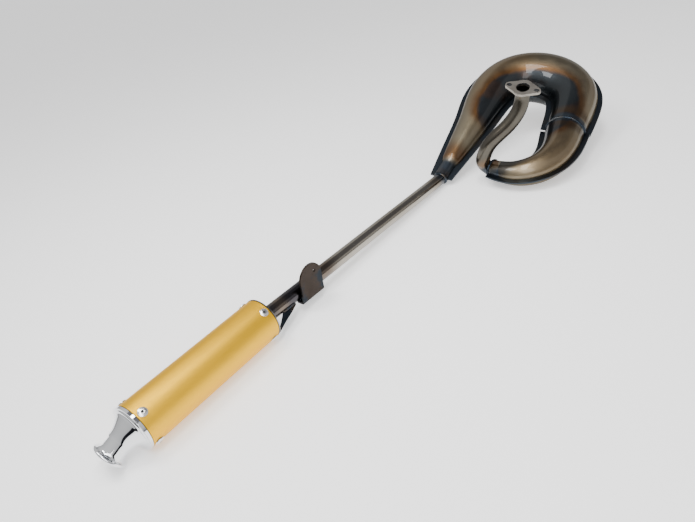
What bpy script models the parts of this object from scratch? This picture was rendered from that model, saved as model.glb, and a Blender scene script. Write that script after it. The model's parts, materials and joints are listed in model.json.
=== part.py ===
"""Two-stroke racing exhaust: port flange, curled header, expansion chamber stamped in halves, stinger and silencer.

Lengths are in millimetres in the tables below and become metres where a shape is made.
Three local frames hang from one root. The stinger frame has +X along the straight tail pipe, from the silencer to
the chamber. The chamber frame has its origin at the small end of the cone, +X up the cone and +Z square to the
flat seam between its halves. The silencer frame has +X along the silencer, with its origin at the inlet end.
"""

import math

import bmesh
import bpy
import numpy as np
from mathutils import Matrix, Vector

MM = 0.001
GAP = 0.3

# How the finished exhaust lies on a flat floor: turns of the stinger frame about Y and X, in degrees.
REST_PITCH = 2.078
REST_ROLL = 1.091

# Tail pipe (stinger), 22.2 mm tube.
STINGER_R = 11.1
STINGER_WALL = 1.5
STINGER_LENGTH = 472.0
STINGER_INTO_SILENCER = 14.0
STINGER_INTO_CONE = 30.0
STINGER_BEND = 9.0

# Expansion chamber: where its frame sits on the stinger frame.
CHAMBER_AT = (3.8, 0.0, 1.4)
CHAMBER_TURN = (9.17, -20.63, 1.37)
SHEET = 1.2
FIN = 9.6
FIN_END_BACK = 1.4
GIRTH_GAP = 0.7
NECK_R = 13.5
NECK_LENGTH = 30.0
NECK_BLEND = 17.0
# Convergent cone and belly: x, y and radius at stations along the seam plane.
UPPER_STATIONS = [
    (0.0, 0.0, 12.1),
    (85.6, 0.0, 23.5),
    (169.5, 1.0, 34.2),
    (250.3, 0.0, 44.6),
    (300.8, -26.4, 47.7),
    (320.2, -75.4, 49.6),
    (314.3, -116.6, 49.2),
    (289.5, -148.8, 46.8),
    (244.4, -164.6, 41.2),
    (184.7, -170.8, 36.7),
]
# Diffuser, from the girth weld down to the header joint.
LOWER_STATIONS = [
    (184.7, -170.8, 36.7),
    (112.2, -179.0, 30.6),
    (61.7, -162.8, 26.2),
    (39.0, -129.5, 22.0),
    (41.5, -88.0, 16.6),
]
# The diffuser's seam plane is tilted about a line through the girth centre.
LOWER_TILT_AXIS_AT = 131.6
LOWER_TILT = 13.4
RING_PITCH = 12.0
ARC_STEPS = 10

# Header, 25.4 mm tube: its route in the chamber frame, from the flange to the diffuser.
HEADER_R = 12.7
HEADER_WALL = 1.5
HEADER_ROUTE = [
    (105.3, -113.3, 145.2),
    (103.2, -113.9, 139.0),
    (97.0, -114.3, 128.0),
    (84.5, -110.4, 111.8),
    (69.5, -100.2, 95.2),
    (55.5, -86.8, 80.3),
    (44.8, -76.5, 65.0),
    (38.0, -71.8, 49.0),
    (36.2, -69.6, 37.0),
]
HEADER_FLARE = 13.0
# The elbow into the diffuser: how far its corner lies before the joint, and the straight that it leaves for the weld.
ELBOW_REACH = 20.4
ELBOW_STRAIGHT = 2.6
ELBOW_STEPS = 6

# Oval port flange, its face parallel to the seam plane.
FLANGE_AT = (106.6, -112.8, 152.3)
FLANGE_THICK = 4.5
FLANGE_HALF_LENGTH = 30.5
FLANGE_END_R = 7.0
FLANGE_HALF_WIDTH = 19.0
FLANGE_SIDE_R = 15.5
FLANGE_BORE_R = 11.2
BOLT_SPACING = 47.0
SLOT_R = 3.4
SLOT_TRAVEL = 2.4

# Hanger bracket, an L-plate welded under the pipe.
BRACKET_X = 87.0
BRACKET_WIDTH = 44.0
BRACKET_FACE = 16.5
BRACKET_THICK = 3.0
BRACKET_TOP = 40.7
BRACKET_BOTTOM = -15.0
BRACKET_BEND = 3.2
BRACKET_LIP_END = -2.5
BRACKET_HOLE = (95.0, 26.4)
BRACKET_HOLE_R = 2.5

# Gusset, a flat plate in the plane of the pipe's axis. Points are distance from the silencer and from the axis.
GUSSET_DIRECTION = 59.0
GUSSET_OUTER_EDGE = [(54.0, 11.5), (53.0, 14.0), (42.0, 18.0), (30.0, 21.5), (20.5, 24.4), (4.0, 30.0)]
GUSSET_INNER_EDGE = [(3.4, 26.0), (10.0, 23.5), (16.0, 20.0), (21.0, 16.5), (26.0, 13.2), (28.0, 11.5)]
GUSSET_THICK = 3.0
GUSSET_BEAD_R = 1.0

# Silencer.
SILENCER_TURN = (0.0, -1.56, 0.96)
SLEEVE_R = 30.0
SLEEVE_WALL = 1.2
SLEEVE_LENGTH = 208.0
SKIRT = 16.0
CAP_WALL = 1.2
CORE_R = 12.9
CORE_WALL = 1.0
CORE_ROWS = 4
CORE_RINGS = 5
CORE_HOLE_R = 2.6
RIVET_HEAD_R = 5.9
RIVET_HEAD_H = 1.9
RIVET_SHANK_R = 2.3
RIVET_HOLE_R = 1.5
RIVET_INSET = 8.2
INLET_RIVETS_AT = -38.0
OUTLET_RIVETS_AT = -34.0

# Angled outlet: how far the neck sits from the sleeve's end, how it is offset and turned, and the tip.
TIP_SIDE_TURN = -24.5
TIP_TILT = 33.0
NECK_OUT = 17.7
NECK_OFFSET = 4.9
OUTLET_NECK_R = 15.9
OUTLET_WALL = 1.0
OUTLET_RIM_R = 30.5
OUTLET_RIM = 3.6
TIP_R = 14.5
TIP_WALL = 1.2
TIP_LENGTH = 22.0
LIP_R = 20.3


def clear_scene():
    for obj in list(bpy.data.objects):
        bpy.data.objects.remove(obj, do_unlink=True)


def new_collection(name, hidden=False):
    made = bpy.data.collections.new(name)
    bpy.context.scene.collection.children.link(made)
    made.hide_render = hidden
    return made


def material(name, colour, roughness, metallic):
    made = bpy.data.materials.new(name)
    made.use_nodes = True
    shader = made.node_tree.nodes["Principled BSDF"]
    shader.inputs["Base Color"].default_value = (*colour, 1.0)
    shader.inputs["Roughness"].default_value = roughness
    shader.inputs["Metallic"].default_value = metallic
    made.diffuse_color = (*colour, 1.0)
    return made


def frame(name, at, turn, parent=None):
    """An empty that carries the pieces of one local frame. The place is in mm, the turns in degrees."""
    empty = bpy.data.objects.new(name, None)
    PARTS.objects.link(empty)
    empty.location = Vector(at) * MM
    empty.rotation_euler = [math.radians(angle) for angle in turn]
    empty.parent = parent
    return empty


def part(name, mesh, parent, mat, smooth=True, angle=40.0):
    """Links a mesh as one named piece, shaded smooth where its faces meet at less than the angle."""
    obj = bpy.data.objects.new(name, mesh)
    PARTS.objects.link(obj)
    obj.parent = parent
    mesh.materials.append(mat)
    if smooth:
        mesh.shade_smooth()
        mesh.set_sharp_from_angle(angle=math.radians(angle))
    return obj


def cutter(name, mesh, parent):
    obj = bpy.data.objects.new(name, mesh)
    CUTTERS.objects.link(obj)
    obj.parent = parent
    obj.hide_render = True
    obj.display_type = "WIRE"
    return obj


def mesh_of(name, verts, faces, edges=()):
    mesh = bpy.data.meshes.new(name)
    mesh.from_pydata([Vector(v) * MM for v in verts], edges, faces)
    mesh.update()
    return mesh


def solidify(obj, thickness, offset):
    thick = obj.modifiers.new("thickness", "SOLIDIFY")
    thick.thickness = thickness * MM
    thick.offset = offset
    thick.use_even_offset = True
    return thick


def boolean(obj, other, operation="DIFFERENCE"):
    cut = obj.modifiers.new("cut_" + other.name, "BOOLEAN")
    cut.object = other
    cut.operation = operation
    cut.solver = "EXACT"
    return cut


def lathe(name, profile, parent, mat, steps=32, helper=False, place=None):
    """Turns a closed loop of (axial, radius) points about the parent's X axis, or about the X axis of a matrix."""
    area = sum(
        profile[i - 1][1] * profile[i][0] - profile[i][1] * profile[i - 1][0]
        for i in range(len(profile))
    )
    loop = profile if area < 0 else profile[::-1]
    count = len(loop)
    edges = [(i, (i + 1) % count) for i in range(count)]
    mesh = mesh_of(name, [(radius, 0.0, axial) for axial, radius in loop], [], edges)
    obj = cutter(name, mesh, parent) if helper else part(name, mesh, parent, mat)
    obj.matrix_local = (place or Matrix()) @ Matrix.Rotation(math.pi / 2, 4, "Y")
    screw = obj.modifiers.new("turn", "SCREW")
    screw.axis = "Z"
    screw.angle = math.tau
    screw.steps = steps
    screw.render_steps = steps
    screw.use_merge_vertices = True
    screw.merge_threshold = 0.00001
    screw.use_smooth_shade = True
    return obj


def natural_spline(points, per_step, axes):
    """Points of a natural cubic spline, and its tangents, about per_step apart over the first so many axes."""
    knots = np.array(points, float)
    chord = np.concatenate([[0.0], np.cumsum(np.linalg.norm(np.diff(knots[:, :axes], axis=0), axis=1))])
    step = np.diff(chord)
    count = len(knots)
    system = np.eye(count)
    right = np.zeros_like(knots)
    for i in range(1, count - 1):
        system[i, i - 1] = step[i - 1]
        system[i, i] = 2 * (step[i - 1] + step[i])
        system[i, i + 1] = step[i]
        right[i] = 6 * ((knots[i + 1] - knots[i]) / step[i] - (knots[i] - knots[i - 1]) / step[i - 1])
    bend = np.linalg.solve(system, right)
    total = chord[-1]
    where = np.linspace(0.0, total, max(2, round(total / per_step) + 1))
    found, tangents = [], []
    for s in where:
        i = min(int(np.searchsorted(chord, s, side="right")) - 1, count - 2)
        h = step[i]
        a = (chord[i + 1] - s) / h
        b = (s - chord[i]) / h
        value = a * knots[i] + b * knots[i + 1]
        value += ((a**3 - a) * bend[i] + (b**3 - b) * bend[i + 1]) * h * h / 6
        slope = (knots[i + 1] - knots[i]) / h
        slope += ((1 - 3 * a * a) * bend[i] + (3 * b * b - 1) * bend[i + 1]) * h / 6
        found.append(value)
        tangents.append(slope)
    return where, np.array(found), np.array(tangents)


def tube(name, route, radius, wall, parent, mat, radii=None, ring=20):
    """An open tube swept along a route with its own wall, made from a bevelled curve."""
    curve = bpy.data.curves.new(name + "_route", "CURVE")
    curve.dimensions = "3D"
    curve.bevel_depth = radius * MM
    curve.bevel_resolution = ring // 4
    curve.use_fill_caps = False
    curve.twist_mode = "MINIMUM"
    spline = curve.splines.new("POLY")
    spline.points.add(len(route) - 1)
    for i, point in enumerate(route):
        spline.points[i].co = (*(Vector(point) * MM), 1.0)
        spline.points[i].radius = radii[i] / radius if radii else 1.0
    guide = bpy.data.objects.new(name + "_guide", curve)
    CUTTERS.objects.link(guide)
    bpy.context.view_layer.update()
    mesh = bpy.data.meshes.new_from_object(guide)
    bpy.data.objects.remove(guide, do_unlink=True)
    work = bmesh.new()
    work.from_mesh(mesh)
    bmesh.ops.remove_doubles(work, verts=work.verts, dist=0.000002)
    bmesh.ops.recalc_face_normals(work, faces=work.faces)
    work.to_mesh(mesh)
    work.free()
    mesh.name = name
    mesh.materials.clear()
    obj = part(name, mesh, parent, mat)
    solidify(obj, wall, -1.0)
    return obj


def bead(name, route, radius, parent, mat):
    """A short weld bead: a round bar with closed ends along a route."""
    curve = bpy.data.curves.new(name, "CURVE")
    curve.dimensions = "3D"
    curve.bevel_depth = radius * MM
    curve.bevel_resolution = 1
    curve.use_fill_caps = True
    spline = curve.splines.new("POLY")
    spline.points.add(len(route) - 1)
    for i, point in enumerate(route):
        spline.points[i].co = (*(Vector(point) * MM), 1.0)
    obj = bpy.data.objects.new(name, curve)
    PARTS.objects.link(obj)
    obj.parent = parent
    curve.materials.append(mat)
    return obj


def grid_sheet(name, rings, parent, mat):
    """A sheet lofted through open rings that hold the same number of points."""
    wide = len(rings[0])
    verts = [point for ring in rings for point in ring]
    faces = []
    for i in range(len(rings) - 1):
        for k in range(wide - 1):
            low = i * wide + k
            faces.append((low, low + 1, low + wide + 1, low + wide))
    return part(name, mesh_of(name, verts, faces), parent, mat, angle=50.0)


def half_shell(name, line, edges, side, mat, planes):
    """One stamped half: a dome over the centreline and a flat fin along each side of it.

    The line holds the centres, tangents and radii, and the edges say how far the fins reach on the left and on the
    right. The sheet is the mating face of the stamping, and its thickness grows away from the seam. A ring with an
    entry in planes, a point and a direction, is cut to that plane.
    """
    centres, tangents, radii = line
    rings = []
    for i, (centre, tangent, radius) in enumerate(zip(centres, tangents, radii)):
        along = Vector((tangent[0], tangent[1], 0.0)).normalized()
        left = Vector((-along.y, along.x, 0.0))
        middle = Vector((centre[0], centre[1], 0.0))
        inner = radius - SHEET
        across = [(edges[0][i], GAP / 2)]
        for k in range(ARC_STEPS + 1):
            angle = math.pi * k / ARC_STEPS
            across.append((inner * math.cos(angle), max(inner * math.sin(angle), GAP / 2)))
        across.append((-edges[1][i], GAP / 2))
        ring = []
        for u, height in across:
            point = middle + left * u + Vector((0.0, 0.0, side * height))
            if i in planes:
                at, normal = planes[i]
                point += along * ((at - point).dot(normal) / along.dot(normal))
            ring.append(point)
        rings.append(ring)
    obj = grid_sheet(name, rings, CHAMBER, mat)
    solidify(obj, SHEET, 1.0 if side > 0 else -1.0)
    return obj


def girth_frames():
    """The tilt of the diffuser's seam plane, and the plane that both sections are cut to at the girth."""
    at = Vector((*UPPER_STATIONS[-1][:2], 0.0))
    hinge = Vector((math.cos(math.radians(LOWER_TILT_AXIS_AT)), math.sin(math.radians(LOWER_TILT_AXIS_AT)), 0.0))
    tilt = Matrix.Rotation(math.radians(LOWER_TILT), 4, hinge)
    place = Matrix.Translation(at) @ tilt @ Matrix.Translation(-at)
    return at, tilt, place


def centreline(stations, before, after, pitch):
    """Centres, tangents and radii between the first and last station. Extra stations only steer the ends."""
    every = ([before] if before else []) + stations + ([after] if after else [])
    where, found, slopes = natural_spline(every, 0.5, 2)
    first = np.array(stations[0][:2])
    last = np.array(stations[-1][:2])
    start = int(np.argmin(np.linalg.norm(found[:, :2] - first, axis=1)))
    end = int(np.argmin(np.linalg.norm(found[:, :2] - last, axis=1)))
    count = max(2, round((where[end] - where[start]) / pitch))
    picks = [round(start + (end - start) * i / count) for i in range(count + 1)]
    return where[picks] - where[start], found[picks, :2], slopes[picks, :2], found[picks, 2]


def with_extra_ring(line, back, from_end):
    """Adds two rings a little before one end, where the left fin is cut away, and clears the rings beside them."""
    where, centres, tangents, radii = line
    spot = where[-1] - back if from_end else back
    keep = [i for i, s in enumerate(where) if abs(s - spot) > 7.5 or i in (0, len(where) - 1)]
    spots = sorted([where[i] for i in keep] + [spot, spot + (0.3 if from_end else -0.3)])
    mixed = []
    for values in (centres[:, 0], centres[:, 1], tangents[:, 0], tangents[:, 1], radii):
        mixed.append(np.interp(spots, where, values))
    return np.array(spots), np.stack(mixed[:2], 1), np.stack(mixed[2:4], 1), mixed[4]


def smooth_step(value):
    held = min(max(value, 0.0), 1.0)
    return held * held * (3 - 2 * held)


def chamber_shells():
    """The four stampings, and the weld round the girth. It returns the diffuser's mouth and the way into it."""
    at, tilt, place = girth_frames()
    line = centreline(UPPER_STATIONS, None, LOWER_STATIONS[1], RING_PITCH)
    where, centres, tangents, full = with_extra_ring(line, FIN_END_BACK, True)
    blend = [smooth_step((s - NECK_LENGTH) / NECK_BLEND) for s in where]
    radii = [NECK_R + share * (radius - NECK_R) for share, radius in zip(blend, full)]
    fin_end = where[-1] - FIN_END_BACK + 0.01
    edges = ([r + (FIN if s <= fin_end else 0.0) for s, r in zip(where, full)], full + FIN)
    low = centreline(LOWER_STATIONS, UPPER_STATIONS[-2], None, RING_PITCH * 0.9)
    low_where, low_centres, low_tangents, low_radii = with_extra_ring(low, FIN_END_BACK, False)
    fin_start = FIN_END_BACK - 0.01
    low_edges = ([r + (FIN if s >= fin_start else 0.0) for s, r in zip(low_where, low_radii)], low_radii + FIN)
    upper_way = Vector((*tangents[-1], 0.0)).normalized()
    lower_way = (tilt @ Vector((*low_tangents[0], 0.0))).normalized()
    facing = (upper_way + lower_way).normalized()
    level = tilt.inverted() @ facing
    backs = [GIRTH_GAP / 2 + back for back in (0.0, FIN_END_BACK - 0.3, FIN_END_BACK)]
    upper_planes = {len(where) - 1 - i: (at - facing * back, facing) for i, back in enumerate(backs)}
    lower_planes = {i: (at + level * back, level) for i, back in enumerate(backs)}
    for side, name in ((1, "near"), (-1, "far")):
        half_shell("chamber_shell_" + name, (centres, tangents, radii), edges, side, STEEL_TAN, upper_planes)
        low_line = (low_centres, low_tangents, low_radii)
        shell = half_shell("diffuser_shell_" + name, low_line, low_edges, side, STEEL_TAN, lower_planes)
        shell.matrix_local = Matrix.Translation(at * MM) @ tilt @ Matrix.Translation(-at * MM)
    girth = Matrix.Translation(at * MM) @ facing.to_track_quat("X", "Z").to_matrix().to_4x4()
    girth_welds(at, Vector((-upper_way.y, upper_way.x, 0.0)), place, girth)
    end = place @ Vector((*low_centres[-1], 0.0))
    way = (tilt @ Vector((*low_tangents[-1], 0.0))).normalized()
    return end, -way


def girth_welds(at, left, place, girth):
    """A bead over each half's dome, stopped short of the fins of both sections."""
    outer = UPPER_STATIONS[-1][2]
    corners = [at + left * reach for reach in (outer + 4.0, -outer - 4.0)]
    corners += [place @ point for point in corners]
    heights = [(girth.inverted() @ (point * MM)).z / MM for point in corners]
    profile = [(-2.8, outer + 1.2), (-2.2, outer + 2.3), (0.0, outer + 2.8), (2.2, outer + 2.2), (2.8, outer + 1.2)]
    spans = (("near", max(heights) + 2.2, 80.0), ("far", -80.0, min(heights) - 2.2))
    for name, low, high in spans:
        ring = lathe("girth_weld_" + name, profile, CHAMBER, STEEL_BLUE, steps=36, place=girth)
        keep = box_cutter("girth_half_" + name, np.array((-9.0, -80.0, low)), np.array((9.0, 80.0, high)), girth)
        boolean(ring, keep, "INTERSECT")


def header(end, way):
    """The curled pipe from the flange into the diffuser, flared where they meet."""
    mouth = LOWER_STATIONS[-1][2]
    corner = end - way * ELBOW_REACH
    arriving = (corner - Vector(HEADER_ROUTE[-1])).normalized()
    swing = arriving.angle(way)
    tangent = ELBOW_REACH - ELBOW_STRAIGHT - GAP
    radius = tangent / math.tan(swing / 2)
    centre = corner + (way - arriving).normalized() * radius / math.cos(swing / 2)
    begin = corner - arriving * tangent
    _, route, _ = natural_spline(HEADER_ROUTE + [tuple(begin)], 9.0, 3)
    start = Vector((*HEADER_ROUTE[0][:2], FLANGE_AT[2] - FLANGE_THICK / 2))
    points = [start - Vector((0.0, 0.0, GAP))] + [Vector(point) for point in route]
    for i in range(1, ELBOW_STEPS + 1):
        turned = Matrix.Rotation(swing * i / ELBOW_STEPS, 3, arriving.cross(way))
        points.append(centre + turned @ (begin - centre))
    points.append(end - way * GAP)
    run = np.concatenate([[0.0], np.cumsum([(b - a).length for a, b in zip(points, points[1:])])])
    left = run[-1] - run
    radii = [HEADER_R + (mouth - 0.3 - HEADER_R) * (1 - smooth_step(d / HEADER_FLARE)) for d in left]
    tube("header_pipe", [tuple(p) for p in points], HEADER_R, HEADER_WALL, CHAMBER, STEEL_GREY, radii, 16)
    joint = Matrix.Translation((end - way * GAP) * MM) @ way.to_track_quat("X", "Z").to_matrix().to_4x4()
    weld = lathe(
        "header_diffuser_weld",
        [(-4.0, mouth + 0.7), (-3.2, mouth + 1.8), (-1.6, mouth + 2.0), (-0.2, mouth + 1.1), (-0.2, mouth + 0.7)],
        CHAMBER,
        STEEL_BLUE,
        steps=24,
        place=joint,
    )
    clear = Matrix.Translation(corner * MM) @ (-arriving).to_track_quat("X", "Z").to_matrix().to_4x4()
    room = round_cutter("header_room", HEADER_R + 0.5, -6.0, 45.0, clear, steps=24)
    room.parent = CHAMBER
    boolean(weld, room)
    top = Matrix.Translation(start * MM) @ Vector((0.0, 0.0, -1.0)).to_track_quat("X", "Y").to_matrix().to_4x4()
    lathe(
        "header_flange_weld",
        [(0.4, HEADER_R + 0.8), (0.4, HEADER_R + 3.2), (1.8, HEADER_R + 2.8), (3.8, HEADER_R + 0.8)],
        CHAMBER,
        STEEL_GREY,
        steps=24,
        place=top,
    )


def ellipse_points(radius, centre, start, stop, steps):
    return [
        (
            centre[0] + radius * math.cos(math.radians(start + (stop - start) * i / steps)),
            centre[1] + radius * math.sin(math.radians(start + (stop - start) * i / steps)),
        )
        for i in range(steps + 1)
    ]


def flat_loop(curve, points):
    spline = curve.splines.new("POLY")
    spline.points.add(len(points) - 1)
    for i, (x, y) in enumerate(points):
        spline.points[i].co = (x * MM, y * MM, 0.0, 1.0)
    spline.use_cyclic_u = True


def port_flange():
    """A rounded diamond plate with the port bore and two bolt slots. Its long way is the parent's Y."""
    curve = bpy.data.curves.new("port_flange", "CURVE")
    curve.dimensions = "2D"
    curve.fill_mode = "BOTH"
    curve.extrude = FLANGE_THICK / 2 * MM
    reach = FLANGE_HALF_LENGTH - FLANGE_END_R
    side_reach = FLANGE_HALF_WIDTH - FLANGE_SIDE_R
    lean = math.degrees(math.atan2(FLANGE_SIDE_R - FLANGE_END_R, reach)) * 0.96
    outline = []
    for turn in (0, 180):
        sign = 1 if turn == 0 else -1
        outline += ellipse_points(FLANGE_SIDE_R, (sign * side_reach, 0.0), turn - 62 + lean, turn + 62 - lean, 8)
        outline += ellipse_points(FLANGE_END_R, (0.0, sign * reach), turn + 28 - lean / 2, turn + 152 + lean / 2, 8)
    flat_loop(curve, outline)
    flat_loop(curve, ellipse_points(FLANGE_BORE_R, (0.0, 0.0), 0, -337.5, 15))
    for sign in (1, -1):
        middle = sign * BOLT_SPACING / 2
        slot = ellipse_points(SLOT_R, (0.0, middle + SLOT_TRAVEL / 2), 180, 0, 5)
        slot += ellipse_points(SLOT_R, (0.0, middle - SLOT_TRAVEL / 2), 0, -180, 5)
        flat_loop(curve, slot)
    obj = bpy.data.objects.new("port_flange", curve)
    PARTS.objects.link(obj)
    obj.parent = CHAMBER
    obj.location = Vector(FLANGE_AT) * MM
    curve.materials.append(STEEL_SATIN)


def tail_pipe():
    """Straight pipe that turns up into the cone's neck, with its weld."""
    up_cone = Matrix.Rotation(math.radians(CHAMBER_TURN[2]), 3, "Z")
    up_cone = up_cone @ Matrix.Rotation(math.radians(CHAMBER_TURN[1]), 3, "Y") @ Vector((1.0, 0.0, 0.0))
    corner = Vector(CHAMBER_AT) - up_cone * 4.0
    straight = Vector((1.0, 0.0, 0.0))
    route = [Vector((-STINGER_LENGTH - STINGER_INTO_SILENCER, 0.0, 0.0)), Vector((-STINGER_LENGTH / 2, 0.0, 0.0))]
    start = corner - straight * STINGER_BEND
    stop = corner + up_cone * STINGER_BEND
    for i in range(7):
        t = i / 6
        route.append(start * (1 - t) ** 2 + corner * 2 * t * (1 - t) + stop * t**2)
    route.append(Vector(CHAMBER_AT) + up_cone * STINGER_INTO_CONE)
    tube("tail_pipe", [tuple(p) for p in route], STINGER_R, STINGER_WALL, STINGER, STEEL_LIGHT, None, 20)
    lathe(
        "stinger_weld",
        [(-4.6, 12.5), (-3.6, 14.2), (-1.8, 14.8), (-0.5, 13.8), (-0.5, 12.5)],
        CHAMBER,
        STEEL_BLUE,
        steps=24,
    )


def strip(name, route, across, thickness, parent, mat):
    """A flat bar: a route drawn through space, widened both ways along one direction."""
    verts = []
    for point in route:
        verts += [Vector(point) - across, Vector(point) + across]
    faces = [(2 * i, 2 * i + 1, 2 * i + 3, 2 * i + 2) for i in range(len(route) - 1)]
    obj = part(name, mesh_of(name, verts, faces), parent, mat, smooth=False)
    solidify(obj, thickness, 0.0)
    return obj


def mounting_bracket():
    middle = -STINGER_LENGTH + BRACKET_X
    half = BRACKET_THICK / 2
    face = -BRACKET_FACE + half
    floor = BRACKET_BOTTOM + half
    side = [(middle, BRACKET_LIP_END, floor)]
    for i in range(6):
        angle = math.radians(90.0 * i / 5)
        y = face + BRACKET_BEND - BRACKET_BEND * math.sin(angle)
        z = floor + BRACKET_BEND - BRACKET_BEND * math.cos(angle)
        side.append((middle, y, z))
    side.append((middle, face, BRACKET_TOP))
    plate = strip("mounting_bracket", side, Vector((BRACKET_WIDTH / 2, 0.0, 0.0)), BRACKET_THICK, STINGER, STEEL_BROWN)
    radius = BRACKET_WIDTH / 2
    outline = ellipse_points(radius - 0.02, (middle, BRACKET_TOP - radius), 0, 180, 18)
    outline += [(middle - radius - 2, BRACKET_TOP - radius), (middle - radius - 2, -30.0)]
    outline += [(middle + radius + 2, -30.0), (middle + radius + 2, BRACKET_TOP - radius)]
    count = len(outline)
    verts = [(x, y, z) for y in (-30.0, 10.0) for x, z in outline]
    faces = [tuple(range(count)), tuple(range(2 * count - 1, count - 1, -1))]
    faces += [(i, count + i, count + (i + 1) % count, (i + 1) % count) for i in range(count)]
    mould = cutter("bracket_outline", mesh_of("bracket_outline", verts, faces), STINGER)
    fix_normals(mould.data)
    boolean(plate, mould, "INTERSECT")
    drill = Matrix.Translation(Vector((-STINGER_LENGTH + BRACKET_HOLE[0], 0.0, BRACKET_HOLE[1])) * MM)
    hole = round_cutter("bracket_drill", BRACKET_HOLE_R, -30.0, 0.0, drill @ Matrix.Rotation(math.pi / 2, 4, "Z"))
    hole.parent = STINGER
    boolean(plate, hole)
    ends = (middle - BRACKET_WIDTH / 2 + 3, middle + BRACKET_WIDTH / 2 - 3)
    radius = 1.3
    y = BRACKET_LIP_END + GAP + radius
    z = -math.sqrt((STINGER_R + GAP + radius) ** 2 - y * y)
    bead("bracket_weld_rear", [(x, y, z) for x in ends], radius, STINGER, STEEL_BLUE)
    radius = 1.05
    z = BRACKET_BOTTOM + BRACKET_THICK + GAP + radius
    y = -math.sqrt((STINGER_R + GAP + radius) ** 2 - z * z)
    bead("bracket_weld_front", [(x, y, z) for x in ends], radius, STINGER, STEEL_BLUE)


def fix_normals(mesh):
    work = bmesh.new()
    work.from_mesh(mesh)
    bmesh.ops.recalc_face_normals(work, faces=work.faces)
    work.to_mesh(mesh)
    work.free()


def box_cutter(name, low, high, place):
    """A box between two corners, in the axes of a place."""
    work = bmesh.new()
    bmesh.ops.create_cube(work, size=1.0)
    bmesh.ops.scale(work, verts=work.verts, vec=Vector(high - low) * MM)
    mesh = bpy.data.meshes.new(name)
    work.to_mesh(mesh)
    work.free()
    obj = cutter(name, mesh, CHAMBER)
    obj.matrix_local = place @ Matrix.Translation(Vector(low + high) / 2 * MM)
    return obj


def round_cutter(name, radius, low, high, place, steps=12):
    """A solid cylinder along the X axis of a place, between two distances."""
    work = bmesh.new()
    bmesh.ops.create_cone(
        work,
        cap_ends=True,
        segments=steps,
        radius1=radius * MM,
        radius2=radius * MM,
        depth=(high - low) * MM,
    )
    mesh = bpy.data.meshes.new(name)
    work.to_mesh(mesh)
    work.free()
    obj = cutter(name, mesh, None)
    centre = Matrix.Translation(Vector(((low + high) / 2 * MM, 0.0, 0.0)))
    obj.matrix_local = place @ centre @ Matrix.Rotation(math.pi / 2, 4, "Y")
    return obj


def gusset_plate():
    """The flat gusset with its two welds, and the weld collar where the pipe enters the silencer."""
    turn = math.radians(GUSSET_DIRECTION)
    outward = Vector((0.0, -math.sin(turn), -math.cos(turn)))
    across = Vector((0.0, math.cos(turn), -math.sin(turn)))
    axes = Matrix((Vector((1.0, 0.0, 0.0)), outward, Vector((1.0, 0.0, 0.0)).cross(outward))).transposed()
    corner = Vector((-STINGER_LENGTH, 0.0, 0.0))
    curve = bpy.data.curves.new("gusset_plate", "CURVE")
    curve.dimensions = "2D"
    curve.fill_mode = "BOTH"
    curve.extrude = GUSSET_THICK / 2 * MM
    flat_loop(curve, GUSSET_OUTER_EDGE + GUSSET_INNER_EDGE)
    obj = bpy.data.objects.new("gusset_plate", curve)
    PARTS.objects.link(obj)
    obj.parent = STINGER
    obj.matrix_local = Matrix.Translation(corner * MM) @ axes.to_4x4()
    curve.materials.append(STEEL_BROWN)
    aside = across * -(GUSSET_THICK / 2 + GAP + GUSSET_BEAD_R)
    out = math.sqrt((STINGER_R + GAP + GUSSET_BEAD_R) ** 2 - aside.length**2)
    base = [corner + Vector((along, 0.0, 0.0)) + outward * out + aside for along in (30.0, 52.0)]
    bead("gusset_weld_pipe", base, GUSSET_BEAD_R, STINGER, STEEL_BLUE)
    foot = [corner + Vector((4.4, 0.0, 0.0)) + outward * far + aside for far in (25.0, 28.6)]
    bead("gusset_weld_cap", foot, GUSSET_BEAD_R, STINGER, STEEL_BLUE)
    lathe(
        "inlet_weld_collar",
        [(6.2, 11.5), (6.2, 15.2), (8.0, 14.6), (9.6, 12.6), (10.0, 11.5)],
        STINGER,
        STEEL_BLUE,
        steps=24,
        place=Matrix.Translation(corner * MM),
    )


def sweep_rings(name, rings, parent, mat, wall, offset):
    """A round sheet lofted through closed rings, thickened."""
    wide = len(rings[0])
    verts = [point for ring in rings for point in ring]
    faces = []
    for i in range(len(rings) - 1):
        for k in range(wide):
            faces.append((i * wide + k, i * wide + (k + 1) % wide, (i + 1) * wide + (k + 1) % wide, (i + 1) * wide + k))
    obj = part(name, mesh_of(name, verts, faces), parent, mat, angle=35.0)
    fix_normals(obj.data)
    solidify(obj, wall, offset)
    return obj


def tip_place():
    """Where the outlet's neck sits in the silencer frame: its X axis points back into the silencer."""
    turn = math.radians(TIP_SIDE_TURN)
    sideways = Vector((0.0, -math.sin(turn), -math.cos(turn)))
    tilt = math.radians(TIP_TILT)
    into = Vector((1.0, 0.0, 0.0)) * math.cos(tilt) - sideways * math.sin(tilt)
    centre = Vector((-SLEEVE_LENGTH - NECK_OUT, 0.0, 0.0)) + sideways * NECK_OFFSET
    return centre, into, sideways


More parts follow.
